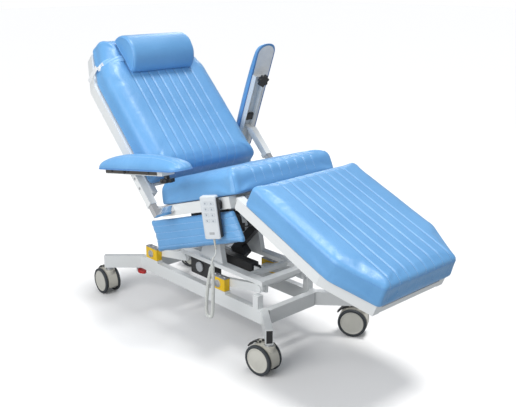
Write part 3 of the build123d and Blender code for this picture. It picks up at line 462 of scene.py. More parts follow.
# ---------------------------------- handset cord
HEADING, LEAN = math.radians(26.0), math.radians(7.5)
UP = Vector((0, 0, 1))
sweep = Vector((math.sin(HEADING), -math.cos(HEADING), 0))
HANDSET = frame_at((-338.0, -116.5, 688.0), sweep.cross(UP), sweep * math.cos(LEAN) + UP * math.sin(LEAN))
HANDSET_LONG, HANDSET_DEEP, HANDSET_WIDE, RELIEF_LONG = 171.0, 25.0, 66.0, 44.0
down = -HANDSET.col[1].to_3d()
relief_top = HANDSET @ Vector((0, -HANDSET_LONG, -HANDSET_DEEP / 2))
relief_end = relief_top + down * RELIEF_LONG
curl_route = [
    (-313, -112, 414), (-313, -115.5, 372), (-313, -114.5, 322), (-313, -112, 268),
    (-313, -109.5, 226), (-313, -107.5, 200), (-313, -104, 182), (-313, -94, 172),
    (-313, -80, 172), (-313, -70, 182), (-313, -68.5, 200), (-313, -69.5, 226),
    (-313, -74.5, 268), (-312.5, -82.5, 318), (-312, -93, 360), (-310, -101, 392),
]
upper_route = [relief_end, relief_end + down * 16, (-313, -128, 446), (-313, -110.8, 428)]
gland = SEAT @ Vector((-215, 228, -98)) * 1000 - Vector((0, CENTRE_Y, 0))
lower_route = [
    (-309, -105, 408), (-296, -103, 430), (-272, -84, 440), (-248, -54, 446),
    (-228, -24, 470), (-217, -6, 500), gland,
]
CORD_R, COIL_R, PITCH, PER_TURN = 0.0020, 0.0055, 0.0053, 12
EASE_TURNS = 1.2            # turns over which the curl opens at each end
axis_line = spline_points([at(*p) for p in curl_route])
axis_runs = run_of(axis_line)
turns = int(axis_runs[-1] / PITCH)
helix = []
normal = (axis_line[1] - axis_line[0]).orthogonal().normalized()
for step in range(turns * PER_TURN + 1):
    share = step / (turns * PER_TURN)
    k, t = nearest(axis_runs, share * axis_runs[-1])
    centre = axis_line[k].lerp(axis_line[k + 1], t)
    tangent = (axis_line[k + 1] - axis_line[k]).normalized()
    normal = (normal - tangent * normal.dot(tangent)).normalized()
    ease = min(1.0, share * turns / EASE_TURNS, (1 - share) * turns / EASE_TURNS)
    turn = 2 * math.pi * step / PER_TURN
    reach = COIL_R * (0.55 + 0.45 * ease)
    helix.append(centre + (normal * math.cos(turn) + tangent.cross(normal) * math.sin(turn)) * reach)
helix = helix[:PER_TURN:3] + helix[PER_TURN:-PER_TURN] + helix[-PER_TURN + 2::3]
cord_points = [at(*p) for p in upper_route] + helix + [at(*p) for p in lower_route]
cord = curve_object("handset_cord_wire", cord_points, CORD_R, resolution=3)
finish_piece(cord, "seat", CORD, ("handset_cord", "handset_cord_curl"), smooth=False)
cord_length = float(run_of(spline_points(cord_points, 3))[-1])

# ---------------------------------- stuffed pieces


def evaluated_mesh(obj):
    """A new mesh, as the object's modifiers leave it."""
    bpy.context.view_layer.update()
    graph = bpy.context.evaluated_depsgraph_get()
    return bpy.data.meshes.new_from_object(obj.evaluated_get(graph))


def with_modifier(obj, kind, **settings):
    """Applies one modifier and keeps its result as the object's mesh."""
    modifier = obj.modifiers.new(kind.lower(), kind)
    for key, value in settings.items():
        setattr(modifier, key, value)
    mesh = evaluated_mesh(obj)
    obj.modifiers.remove(modifier)
    old, obj.data = obj.data, mesh
    bpy.data.meshes.remove(old)


def points_of(mesh, what="co"):
    """The places or normals of the vertices, one row each."""
    values = np.zeros(len(mesh.vertices) * 3, np.float32)
    mesh.vertices.foreach_get(what, values)
    return values.reshape(-1, 3).astype(float)


def put_points(mesh, points):
    mesh.vertices.foreach_set("co", points.astype(np.float32).ravel())
    mesh.update()


PRESSURE, CLOTH_FRAMES = 4.0, 20
FOLD_SCALE, SEAM_FACE = 14.0, 0.2
STITCH_LONG, STITCH_PITCH, STITCH_GAP, STITCH_WIDE, STITCH_HIGH = 5.2, 6.6, 2.0, 1.0, 0.7


def inflate(obj, cap, pinned):
    """Cloth pressure on the closed mesh; no point moves more than the cap."""
    rest = points_of(obj.data)
    group = obj.vertex_groups.new(name="pin")
    group.add([int(i) for i in np.nonzero(pinned(rest * 1000))[0]], 1.0, "REPLACE")
    modifier = obj.modifiers.new("cloth", "CLOTH")
    settings = modifier.settings
    settings.quality = 4
    settings.mass = 0.25
    settings.tension_stiffness = settings.compression_stiffness = 12
    settings.bending_stiffness = 0.8
    settings.use_pressure = True
    settings.uniform_pressure_force = PRESSURE
    settings.effector_weights.gravity = 0
    settings.vertex_group_mass = "pin"
    modifier.collision_settings.use_self_collision = False
    modifier.collision_settings.use_collision = False
    scene = bpy.context.scene
    for number in range(1, CLOTH_FRAMES + 1):
        scene.frame_set(number)
    swollen = evaluated_mesh(obj)
    moved = points_of(swollen) - rest
    obj.modifiers.remove(modifier)
    scene.frame_set(1)
    size = np.linalg.norm(moved, axis=1)
    limit = cap * np.tanh(size / cap) / np.maximum(size, 1e-9)
    put_points(obj.data, rest + moved * limit[:, None])
    bpy.data.meshes.remove(swollen)
    obj.vertex_groups.clear()


def near_line(points, line):
    """Distance in the local XY plane of each point from a polyline."""
    best = np.full(len(points), 1e9)
    for (x0, y0), (x1, y1) in zip(line, line[1:]):
        d = np.array((x1 - x0, y1 - y0))
        t = np.clip(((points[:, :2] - (x0, y0)) @ d) / (d @ d), 0, 1)
        best = np.minimum(best, np.linalg.norm(points[:, :2] - (x0, y0) - t[:, None] * d, axis=1))
    return best


def wrinkle(points, scale, seed):
    """Smooth noise between -1 and 1 at each point."""
    shift = Vector((seed * 3.7, seed * 1.3, seed * 5.1))
    return np.array([noise.noise(Vector(p) * scale + shift) for p in points])


def stuffed(name, solid, place, body, stands_for, pinned, cap, seams=(), voxel=6.0, groove=(2.4, 3.4),
            shape=None, folds=0.9, flat=None, seed=1):
    """A filled cushion: voxel remesh, cloth pressure, one subdivision, then its sewn channels."""
    verts, faces = solid
    mesh = bpy.data.meshes.new(name)
    mesh.from_pydata([tuple(c * 0.001 for c in v) for v in verts], [], faces)
    tidy(mesh)
    obj = in_scene(name, mesh)
    with_modifier(obj, "REMESH", mode="VOXEL", voxel_size=voxel * 0.001)
    with_modifier(obj, "SMOOTH", factor=0.5, iterations=6)
    inflate(obj, cap, pinned)
    with_modifier(obj, "SMOOTH", factor=0.5, iterations=5)
    with_modifier(obj, "SUBSURF", levels=1)
    mesh = obj.data
    points, normals = points_of(mesh) * 1000, points_of(mesh, "normal")
    if flat is not None:
        points[:, 2] = np.maximum(points[:, 2], flat)
    if shape:
        points = shape(points)
    points += normals * (wrinkle(points * 0.001, FOLD_SCALE, seed) * folds)[:, None]
    front = np.clip((normals[:, 2] - SEAM_FACE) * 4, 0, 1)
    depth, width = groove
    for line in seams:
        points -= normals * (front * depth * np.exp(-((near_line(points, line) / width) ** 2)))[:, None]
    put_points(mesh, points * 0.001)
    tree = BVHTree.FromPolygons([tuple(p) for p in points], [tuple(f.vertices) for f in mesh.polygons])
    mesh.transform(place @ Matrix.Scale(1000, 4))
    finish_piece(obj, body, BLUE, stands_for, sharp=0)
    return tree


def stitches(name, lines, place, body, material=THREAD):
    """Short raised threads along lines of (point, normal) pairs in a local plane."""
    threads = []
    for line in lines:
        spots = [p for p, _ in line]
        runs = run_of(spots)
        where = STITCH_GAP
        while where < runs[-1] - STITCH_LONG:
            ends = []
            for along in (where, where + STITCH_LONG):
                k, t = nearest(runs, along)
                ends.append((spots[k].lerp(spots[k + 1], t), line[k][1]))
            (a, normal), (b, _) = ends
            run = (b - a).normalized()
            side = run.cross(normal).normalized()
            lift = side.cross(run)
            rings = []
            for share, scale in ((0, 0.3), (0.2, 0.9), (0.8, 0.9), (1, 0.3)):
                centre = a.lerp(b, share) + lift * 0.25
                rings.append([])
                for turn in range(6):
                    c, s = math.cos(turn * math.pi / 3), math.sin(turn * math.pi / 3)
                    spot = centre + side * STITCH_WIDE * scale * c + lift * STITCH_HIGH * scale * s
                    rings[-1].append(tuple(spot))
            threads.append(rings_mesh(rings))
            where += STITCH_PITCH
    return piece(name, *joined(threads), place, body, material, "blue_leatherette", sharp=0)


def dropped(tree, line):
    """The line laid on a cushion from above: (point, normal) pairs."""
    top, step = 300.0, 3.0
    laid = []
    for (x0, y0), (x1, y1) in zip(line, line[1:]):
        count = max(2, int(math.hypot(x1 - x0, y1 - y0) / step))
        for k in range(count):
            spot = Vector((x0 + (x1 - x0) * k / count, y0 + (y1 - y0) * k / count, top))
            hit, normal, _, _ = tree.ray_cast(spot, Vector((0, 0, -1)))
            if hit is not None and normal.z > 0.12:
                laid.append((hit, normal))
    return laid


def border(tree, outline, height):
    """A line round the side of a cushion at one height: (point, normal) pairs."""
    outside, inside = -60.0, 30.0
    laid = []
    for outer, inner in zip(inward(outline, outside), inward(outline, inside)):
        start, goal = Vector((*outer, height)), Vector((*inner, height))
        hit, normal, _, _ = tree.ray_cast(start, (goal - start).normalized())
        if hit is not None:
            laid.append((hit, normal))
    return laid


def both(points):
    """An outline given for +X, closed by its mirror."""
    return points + [(-x, y) for x, y in reversed(points)]


def edge_rounded(low, high, bottom, top, inset=2.0, steps=6):
    """(inset, height) pairs of a side with a small bottom radius and a larger top one."""
    pairs = []
    for k in range(4):
        a = math.radians(90 * k / 3)
        pairs.append((inset + bottom * (1 - math.sin(a)), low + bottom * (1 - math.cos(a))))
    for k in range(steps + 1):
        a = math.radians(90 * k / steps)
        pairs.append((inset + top * (1 - math.cos(a)), high - top * (1 - math.sin(a))))
    return pairs


# seat: a waterfall front over the knee hinge
SEAM_XS = [47.0 * k - 164.5 for k in range(8)]
SEAT_SEAMS = [[(x, -40.0), (x, 470.0)] for x in SEAM_XS]
seat_outline = rounded_outline([(287, -38), (287, 466), (-287, 466), (-287, -38)], [34, 16, 16, 34])
seat_tree = stuffed(
    "seat_cushion_cover", outline_solid(seat_outline, edge_rounded(1.5, 97, 8, 34, 4)), SEAT, "seat",
    ("seat_cushion",), lambda p: p[:, 2] < 7, 0.009, SEAT_SEAMS, flat=1.0, folds=1.2, seed=2,
)
stitches("seat_stitching", [dropped(seat_tree, line) for line in SEAT_SEAMS], SEAT, "seat")
for name, side in SIDES:
    welt = []
    for height in range(6, 96, 6):
        start = Vector((side * 380, -131, height))
        hit, _, _, _ = seat_tree.ray_cast(start, Vector((-side, 1, 0)).normalized())
        if hit is not None:
            wobble = 0.9 * math.sin(height * 0.55)
            welt.append(SEAT @ (hit + Vector((wobble, wobble * side, 0))))
    welt = curve_object(f"seat_corner_welt_{name}", welt, 0.0021, resolution=6, sides=2)
    finish_piece(welt, "seat", BLUE, smooth=False)

# backrest
BACK_SEAMS = [[(x, 98.0), (x, 780.0)] for x in SEAM_XS]
back_outline = rounded_outline(both([(298, 96), (298, 640), (226, 850)]), [24, 120, 34, 34, 120, 24])
back_tree = stuffed(
    "backrest_cushion_cover", outline_solid(back_outline, edge_rounded(41, 132, 8, 44, 4)), BACK, "backrest",
    ("backrest_cushion",), lambda p: p[:, 2] < 47, 0.010, BACK_SEAMS, flat=40.3, folds=1.2, seed=3,
)
stitches("backrest_stitching", [dropped(back_tree, line) for line in BACK_SEAMS], BACK, "backrest")

# legrest
LEG_SEAMS = [[(x, -46.0), (x, -700.0)] for x in range(-175, 176, 50)]
LEG_CORNERS = both([(294, -46), (294, -510), (212, -690)])
leg_outline = rounded_outline(LEG_CORNERS, [30, 70, 20, 20, 70, 30])
leg_tree = stuffed(
    "legrest_cushion_cover", outline_solid(leg_outline, edge_rounded(24, 117, 6, 20, 3)), LEG, "legrest",
    ("legrest_cushion",), lambda p: p[:, 2] < 30, 0.008, LEG_SEAMS, flat=23.3, folds=0.6, seed=4,
)
stitches("legrest_stitching", [dropped(leg_tree, line) for line in LEG_SEAMS], LEG, "legrest")
leg_border = border(leg_tree, rounded_outline(LEG_CORNERS, 60, 24), 98.0)
stitches("legrest_border_stitching", [leg_border], LEG, "legrest", BLUE_DEEP)

# head pillow, strapped round the backrest
PILLOW_LOW, PILLOW_HIGH = -168.0, 175.0
PILLOW_S, PILLOW_FOOT, PILLOW_CORE = 707, 141.5, 165
turns = [math.radians(7.5 * k) for k in range(25)]
arc = [(PILLOW_S + 96 * math.cos(a), PILLOW_FOOT + 97 * math.sin(a)) for a in turns]
half_round = rounded_outline(arc, 4, 1)
PILLOW = sideways(BACK_POINT, BACK_ANGLE, 0)
long = PILLOW_HIGH - PILLOW_LOW
ends = [(9, 2), (3, 4), (1, 9), (1, long - 9), (3, long - 4), (9, long - 2)]
pillow_solid = outline_solid(half_round, [(i, h + PILLOW_LOW) for i, h in ends])
pillow_tree = stuffed(
    "head_pillow_cover", pillow_solid, PILLOW, "backrest", ("head_pillow",), lambda p: p[:, 1] < 147, 0.010,
    voxel=5.0, folds=0.8, seed=5,
)
for name, x in (("near", PILLOW_LOW + 3.5), ("far", PILLOW_HIGH - 3.5)):
    ring = [Vector((p.x, p.y, x)) for p in rounded_outline(arc, 8, 3)]
    seat_on = []
    for spot in ring:
        centre = Vector((PILLOW_S, PILLOW_CORE, x))
        hit, _, _, _ = pillow_tree.ray_cast(centre, (spot - centre).normalized())
        seat_on.append(PILLOW @ (hit if hit is not None else spot))
    piping = curve_object(f"pillow_piping_{name}", seat_on + seat_on[:1], 0.0022, resolution=3, sides=2)
    finish_piece(piping, "backrest", BLUE, smooth=False)

# side skirts, quilted in four rows
for name, side in SIDES:
    skirt_place = sideways(SEAT_POINT, SEAT_ANGLE, 256, side)
    skirt_outline = rounded_outline([(16, -52), (588, -52), (580, -202), (-20, -184)], [8, 6, 10, 14])
    rows = [[(16 - 36 * t, -52 - 132 * t), (586 - 6 * t, -52 - 150 * t)] for t in (0.22, 0.42, 0.62, 0.82)]
    skirt_tree = stuffed(
        f"side_skirt_cover_{name}", outline_solid(skirt_outline, edge_rounded(0.5, 24, 3, 8, 2)), skirt_place,
        "seat", ("side_skirts",) if name == "right" else (), lambda p: p[:, 2] < 3, 0.006, rows, voxel=5.0,
        groove=(1.8, 3.2), folds=1.2, seed=6 + side,
    )
    sewn = [dropped(skirt_tree, line) for line in rows]
    stitches(f"side_skirt_stitching_{name}", sewn, skirt_place, "seat")

# ---------------------------------- armrests
ARMS = (("right", -1, -18.0, 170.8), ("left", 1, 97.0, 110.0))       # side, foot along the post, pad angle
POST_LONG, POST_RISE, POST_SIDE = 157, 91.6, 380.0
PIVOT_UP, PIVOT_AHEAD = 32, -22                 # the pad's pivot, from the top of the post
PAD_LOW, PAD_START, PAD_LONG, PAD_MIDDLE = 15.2, -148.0, 560.0, 386.0
CHANNEL_SIDE = 394.0


def post_point(along, ahead=0.0):
    """The (y, z) of a point on the armrest post, which leans with the backrest."""
    lean = math.radians(BACK_ANGLE)
    rise = POST_RISE + ahead
    return (
        BACK_POINT[0] + along * math.cos(lean) - rise * math.sin(lean),
        BACK_POINT[1] + along * math.sin(lean) + rise * math.cos(lean),
    )


def pad_place(foot, angle):
    """Local x along the pad from its pivot, y = world X, z = away from the channel."""
    c, s, y, z = parts_of(post_point(foot + POST_LONG + PIVOT_UP, PIVOT_AHEAD), angle)
    return Matrix(((0, 1, 0, 0), (c, 0, s, y), (s, 0, -c, z), (0, 0, 0, 1000))) * 0.001


for name, side, foot, angle in ARMS:
    place = pad_place(foot, angle)
    body = f"armrest_{name}"
    middle = side * PAD_MIDDLE
    corners = [(-155.5, middle - 56), (419.5, middle - 56), (419.5, middle + 56), (-155.5, middle + 56)]
    pad_outline = rounded_outline(corners, 64, 10)
    rows = [[(-150, middle + x), (416, middle + x)] for x in (-24.0, 0.0, 24.0)]

    def domed(points, middle=middle):
        """Full in the middle of the pad, thin at its ends."""
        end = np.clip(np.abs(points[:, 0] - 132.0) / 292.0, 0, 1)
        side_way = np.clip(np.abs(points[:, 1] - middle) / 60.0, 0, 1)
        full = (0.34 + 0.66 * (1 - end ** 2.6) ** 0.7) * (1 - 0.16 * side_way ** 2)
        points[:, 2] = PAD_LOW + (points[:, 2] - PAD_LOW) * full
        return points

    pad_solid = outline_solid(pad_outline, edge_rounded(15.6, 71, 2, 38, 1.5))
    pad_tree = stuffed(
        f"armrest_pad_cover_{name}", pad_solid, place, body, (f"armrest_pad_{name}",),
        lambda p: p[:, 2] < 19, 0.009, rows, voxel=4.5, groove=(1.3, 2.6), shape=domed, folds=0.5,
        flat=PAD_LOW, seed=9 + side,
    )
    stitches(f"armrest_stitching_{name}", [dropped(pad_tree, line) for line in rows], place, body)
    piping_line = inward(rounded_outline(corners, 60, 10), 1.0)
    piping = curve_object(
        f"armrest_piping_{name}", [place @ Vector((*p, 17.5)) for p in piping_line + piping_line[:1]],
        0.0022, resolution=3, sides=2,
    )
    finish_piece(piping, body, BLUE_DEEP, smooth=False)
    # white liner stapled under the pad
    cols, lines_across = 90, 18
    verts, faces = [], []
    for i in range(cols + 1):
        u = PAD_START + PAD_LONG * i / cols
        from_end = min(u - PAD_START, PAD_START + PAD_LONG - u)
        half = 49.0 * math.sqrt(max(0.02, 1 - max(0.0, 1 - from_end / 44.0) ** 2.2))
        for j in range(lines_across + 1):
            x = middle - half + 2 * half * j / lines_across
            wave = 0.5 * math.sin(u * 0.21 + 2.2 * math.sin(x * 0.08)) + 0.35 * math.sin(u * 0.47 + x * 0.15)
            verts.append((u, x, 14.3 + 0.35 * wave))
    for i in range(cols):
        for j in range(lines_across):
            a = i * (lines_across + 1) + j
            faces.append((a, a + 1, a + lines_across + 2, a + lines_across + 1))
    liner = piece(f"armrest_liner_{name}", verts, faces, place, body, LINER, sharp=0)

# ---------------------------------- casters
TUBE_ENDS = {
    "front_right": (-256.0, -379.0), "rear_right": (-282.0, 749.0),
    "front_left": (296.0, -394.0), "rear_left": (282.0, 749.0),
}
HEADINGS = {"front_right": 7.0, "rear_right": -4.0, "front_left": 30.0, "rear_left": 12.0}
RAIL_X, INSET, TRAIL, WHEEL_R = 147.0, 20.0, 28.0, 62.5
BEND_YS = {"front": -235.0, "rear": 624.0}
TYRE_SHAPE = [
    (50.6, 25.8), (57.5, 25.6), (60.8, 26.6), (62.3, 29.0), (62.5, 31.4), (61.9, 32.2), (61.9, 33.2),
    (62.5, 34.0), (62.3, 36.6), (60.9, 39.0), (57.6, 40.0), (53.6, 39.9), (51.4, 38.6), (50.6, 36.0),
]
DISC_SHAPE = [
    (0.5, 26.0), (50.5, 26.0), (50.5, 37.8), (49.8, 38.9), (48.2, 39.4), (46.4, 39.0), (45.2, 37.9),
    (43.8, 37.2), (40.0, 37.3), (26.0, 38.4), (12.0, 38.9), (0.5, 39.0),
]
AXLE_SHAPE = [(9.5, -25.9), (9.5, -23.4), (6.2, -23.4), (6.2, 23.4), (9.5, 23.4), (9.5, 25.9)]
RACE_SHAPE = [(11.0, 124.4), (17.0, 124.4), (17.6, 125.2), (17.6, 127.6), (16.4, 128.6), (11.0, 128.6)]
flip = Matrix.Diagonal((1, -1, -1, 1))
for corner, (end_x, end_y) in TUBE_ENDS.items():
    bend = Vector((math.copysign(RAIL_X, end_x), BEND_YS[corner.split("_")[0]], 0))
    tip = Vector((end_x, end_y, 0))
    swivel = tip - (tip - bend).normalized() * INSET
    turn = math.radians(HEADINGS[corner])
    axle = Vector((math.cos(turn), math.sin(turn), 0))
    trail = Vector((-math.sin(turn), math.cos(turn), 0))
    hub = swivel + trail * TRAIL + Vector((0, 0, WHEEL_R))
    place = MILLI @ frame_at(hub, axle, trail)
    wheels = f"wheels_{corner}"
    tyre, disc = lathe_loop(TYRE_SHAPE, 56), lathe(DISC_SHAPE, 56)
    piece(f"caster_tyres_{corner}", *joined([tyre, (*tyre, flip)]), place, wheels, TYRE,
          "cream_and_grey_wheel", (f"caster_wheels_{corner}",))
    piece(f"caster_discs_{corner}", *joined([disc, (*disc, flip)]), place, wheels, DISC,
          "cream_and_grey_wheel")
    piece(f"caster_axle_{corner}", *lathe(AXLE_SHAPE, 24), place, wheels, STEEL, "bright_steel")
    piece(f"caster_race_{corner}", *lathe_loop(RACE_SHAPE, 40), MILLI @ Matrix.Translation(swivel), "base",
          CHROME, "bright_steel")

# ---------------------------------- lift hardware
PIN_YS, PIN_Z = {"front": 40.0, "rear": 528.0}, 234.4
BOLT_SHAPE = [
    (0.2, 265.0), (6.6, 265.0), (6.8, 265.8), (6.8, 267.0), (5.6, 268.6), (2.6, 269.0), (0.2, 269.1),
]
PIN_CAP_SHAPE = [
    (0.2, 166.1), (15.2, 166.1), (16.4, 166.8), (16.4, 167.7), (13.2, 168.6), (11.5, 168.3), (10.2, 168.8),
    (0.2, 169.1),
]
for side_name, side in SIDES:
    for end_name, pin_y in PIN_YS.items():
        plate = block((30.6, 87.0, 4.0), (0, 0, 263.2), 1.2)
        bolts = [(*lathe(BOLT_SHAPE, 24), Matrix.Translation((0, dy, 0))) for dy in (-30.0, 0.0, 30.0)]
        place = MILLI @ Matrix.Translation((side * RAIL_X, pin_y, 0))
        piece(f"block_plate_{end_name}_{side_name}", *plate, place, "base", PLATE, "black_plastic")
        piece(f"block_bolts_{end_name}_{side_name}", *joined(bolts), place, "base", STEEL, "bright_steel")
        place = MILLI @ frame_at((0, pin_y, PIN_Z), (side, 0, 0), (0, 1, 0))
        piece(f"pin_cap_{end_name}_{side_name}", *lathe(PIN_CAP_SHAPE, 36), place, f"{end_name}_arms", STEEL,
              "bright_steel")

# ribs and end cap on the lift motor
ribs = [block((60.0, 3.0, 70.0), (-87.0, 158.0 + 13.0 * k, 246.0), 1.0) for k in range(9)]
piece("lift_motor_ribs", *joined(ribs), MILLI, "lift_housing", CASTING, "black_plastic")
top = lathe([(0.2, 0), (21.0, 0), (23.0, 1.2), (23.0, 7.0), (21.0, 8.6), (12.0, 9.4), (0.2, 9.6)], 36)
piece("lift_motor_cap", *top, MILLI @ frame_at((-121.0, 210.0, 250.0), (-1, 0, 0), (0, 1, 0)), "lift_housing",
      MOTOR, "black_plastic")


def free_cable(name, body, route, radius):
    """A short cable between two fixed places on one body."""
    points = [at(*p) for p in route]
    wire = curve_object(name, points, radius, resolution=8)
    finish_piece(wire, body, CABLE, smooth=False)
    reach = float(run_of(spline_points(points, 8))[-1])


free_cable("chassis_cable_loop", "chassis", [
    (-118, 318, 300), (-112, 342, 290), (-104, 356, 258), (-98, 348, 226), (-93, 322, 214), (-90, 292, 222),
    (-90, 272, 250), (-94, 262, 291),
], 0.0036)
free_cable("seat_cable", "seat", [
    (-140, 40, 540), (-128, 22, 520), (-112, -6, 500), (-92, -40, 492), (-70, -74, 500), (-52, -98, 528),
], 0.0028)

# ---------------------------------- handset
HAND = MILLI @ HANDSET
backing = block((6.0, 158.0, 15.0), (HANDSET_WIDE / 2 + 3.4, -86.0, -13.0), 2.2)
piece("handset_backing", *backing, HAND, "seat", BLACK, "black_plastic")
ribs = []
for k in range(7):
    radius = 4.5 - 1.9 * (k + 0.5) / 7
    ring = [(-0.6, -0.9), (0.7, -0.9), (1.0, 0), (0.7, 0.9), (-0.6, 0.9)]
    centre = Vector((0, -HANDSET_LONG - 3.5 - 6.0 * k, -HANDSET_DEEP / 2))
    ribs.append((*lathe_loop([(radius + out, z) for out, z in ring], 24), frame_at(centre, (0, -1, 0))))
piece("strain_relief_ribs", *joined(ribs), HAND, "seat", CREAM, "cream_plastic")
for number in range(8):
    row_index, column = divmod(number, 2)
    up = 2 * column - 1
    x, y = up * 12.5, -28 - row_index * 23
    arrow = [(x, y + 3.6 * up, 0.82), (x - 3.4, y - 1.2 * up, 0.82), (x + 3.4, y - 1.2 * up, 0.82)]
    arrow += [(px, py, 1.02) for px, py, _ in arrow]
    bar = block((7.0, 1.1, 0.24), (x, y - 3.2 * up, 0.92), 0.08)
    solid = (arrow, [(2, 1, 0), (3, 4, 5), (0, 1, 4, 3), (1, 2, 5, 4), (2, 0, 3, 5)])
    piece(f"button_mark_{number + 1}", *joined([solid, bar]), HAND, f"button_{number + 1}", PRINT,
          "black_plastic")
lip = rounded_outline([(-29, -9), (29, -9), (29, -162), (-29, -162)], 5, 5)
profile = ((0, -0.05), (0, 0.3), (1.0, 0.3), (1.0, -0.05), (0, -0.05))
rings = [[(p.x, p.y, height) for p in inward(lip, inset)] for inset, height in profile]
piece("handset_face_line", *rings_mesh(rings, cap=False), HAND, "seat", BUTTON_LOOK, "light_grey_plastic")
tab = rounded_outline([(-11, -142), (11, -142), (11, -152), (-11, -152)], 2, 4)
panel = outline_solid(tab, [(0, -0.1), (0, 0.25), (0.4, 0.4)])
piece("handset_lock_tab", *panel, HAND, "seat", MOTOR, "light_grey_plastic")

# ---------------------------------- pillow strap


def ribbon(name, spine, width, thick, material, slot=None, ripple=0.0):
    """A flat strap on the backrest along local points, its width along the backrest."""
    steps = []
    for a, b in zip(spine, spine[1:]):
        steps += [Vector(a).lerp(Vector(b), k / 6) for k in range(6)]
    steps.append(Vector(spine[-1]))
    for _ in range(3):
        inner = [(steps[i - 1] + steps[i] * 2 + steps[i + 1]) / 4 for i in range(1, len(steps) - 1)]
        steps = steps[:1] + inner + steps[-1:]
    rings = []
    for i, spot in enumerate(steps):
        run = (steps[min(i + 1, len(steps) - 1)] - steps[max(i - 1, 0)]).normalized()
        wide = (ALONG - run * ALONG.dot(run)).normalized()
        out = run.cross(wide).normalized()
        line = []
        for j in range(9):
            share = j / 8 - 0.5
            line.append(spot + wide * share * width + out * ripple * math.sin(share * 14 + i * 0.35))
        half = out * thick / 2
        rings.append([tuple(p + half) for p in line] + [tuple(p - half) for p in reversed(line)])
    return piece(name, *rings_mesh(rings), BACK, "backrest", material, slot, sharp=50)


def over_back(x, missing=140.0):
    """The backrest cover's height above the frame plane where the strap crosses it."""
    hit, _, _, _ = back_tree.ray_cast(Vector((x, STRAP_S, 400)), Vector((0, 0, -1)))
    return hit.z if hit is not None else missing


ALONG = Vector((0, 1, 0))
STRAP_S = 700.0             # the strap's place along the backrest
for side_name, start, side in (("near", PILLOW_LOW, -1), ("far", PILLOW_HIGH, 1)):
    edge_x = next(x for x in range(300, 200, -2) if over_back(side * x, 0.0) > 60)
    spine = []
    for k in range(5):
        reach = 27.0 * k
        spine.append((start + side * (reach - 1.0), STRAP_S, over_back(start + side * reach) + 1.4))
    spine[0] = (start - side * 2.0, STRAP_S, spine[1][2] + 3.0)
    spine = [p for p in spine if abs(p[0]) < edge_x - 22]
    for inset in (22.0, 12.0, 5.0):
        x = side * (edge_x - inset)
        spine.append((x, STRAP_S, over_back(x) + 1.6))
    ribbon(f"pillow_strap_{side_name}", spine, 30.0, 1.4, STRAP_BLUE, "blue_leatherette", 0.7)
    down_side = [(x, y, z + 1.3) for x, y, z in spine[-2:]]
    down_side.append((side * (edge_x + 3.5), STRAP_S, spine[-1][2] - 14.0))
    outer = max(edge_x + 5.0, 283.0)
    down_side += [(side * outer, 702.0, z) for z in (92.0, 60.0, 30.0, -4.0)]
    down_side += [(side * (outer - 3.0), 703.0, -17.5), (side * (outer - 50.0), 703.0, -16.0)]
    ribbon(f"pillow_elastic_{side_name}", down_side, 22.0, 1.3, ELASTIC)
ribbon("pillow_elastic_back", [(-210, 703, -15.2), (0, 703, -14.6), (210, 703, -15.2)], 22.0, 1.3, ELASTIC)

# ---------------------------------- boards under the cushions
for name, place, outline, height, body in (
    ("seat_board", SEAT, seat_outline, 0.1, "seat"),
    ("backrest_board", BACK, back_outline, 39.2, "backrest"),
    ("legrest_board", LEG, leg_outline, 22.4, "legrest"),
):
    inset = inward(outline, 16)
    piece(name, *rings_mesh([[(p.x, p.y, height + lift) for p in inset] for lift in (0.0, 0.8)]), place, body,
          PLATE, "black_plastic")

# ---------------------------------- armrest hardware
SCREW_SHAPE = [(0.2, 0), (4.6, 0), (4.8, 0.8), (4.0, 2.2), (0.2, 2.8)]
for name, side, foot, angle in ARMS:
    place = pad_place(foot, angle)
    body = f"armrest_{name}"
    x = side * (CHANNEL_SIDE + 0.6)
    strip = block((386.0, 1.0, 20.0), (44.0, x, 2.0), 0.3)
    piece(f"armrest_side_strip_{name}", *strip, place, body, DARK_STEEL, "bright_steel")
    screws = []
    for u in (-96.0, 30.0, 180.0):
        screws.append((*lathe(SCREW_SHAPE, 20), frame_at((u, x + side * 0.5, 2.0), (0, side, 0))))
    piece(f"armrest_screws_{name}", *joined(screws), place, body, BLACK, "black_plastic")
    stop = block((34.0, 50.0, 13.0), (52.0, side * 364.0, 4.0), 2.0)
    piece(f"armrest_stop_{name}", *stop, place, body, BLACK, "black_plastic")
    lug = lathe([(0.2, 0), (7.5, 0), (8.5, 1.0), (8.5, 3.0), (7.0, 4.6), (0.2, 5.2)], 28)
    lug_place = place @ frame_at((0, side * CHANNEL_SIDE, 0), (0, side, 0))
    piece(f"armrest_pivot_cap_{name}", *lug, lug_place, body, BLACK, "black_plastic")
    for index, along in enumerate((-4.0, 44.0)):
        spot = post_point(foot + POST_LONG - 26 - along)
        screw = lathe([(0.2, 0), (5.4, 0), (5.6, 0.8), (4.6, 2.4), (0.2, 3.0)], 20)
        spot_place = MILLI @ frame_at((side * POST_SIDE, *spot), (side, 0, 0))
        piece(f"post_screw_{name}_{index + 1}", *screw, spot_place, f"armrest_slide_{name}", STEEL,
              "bright_steel")

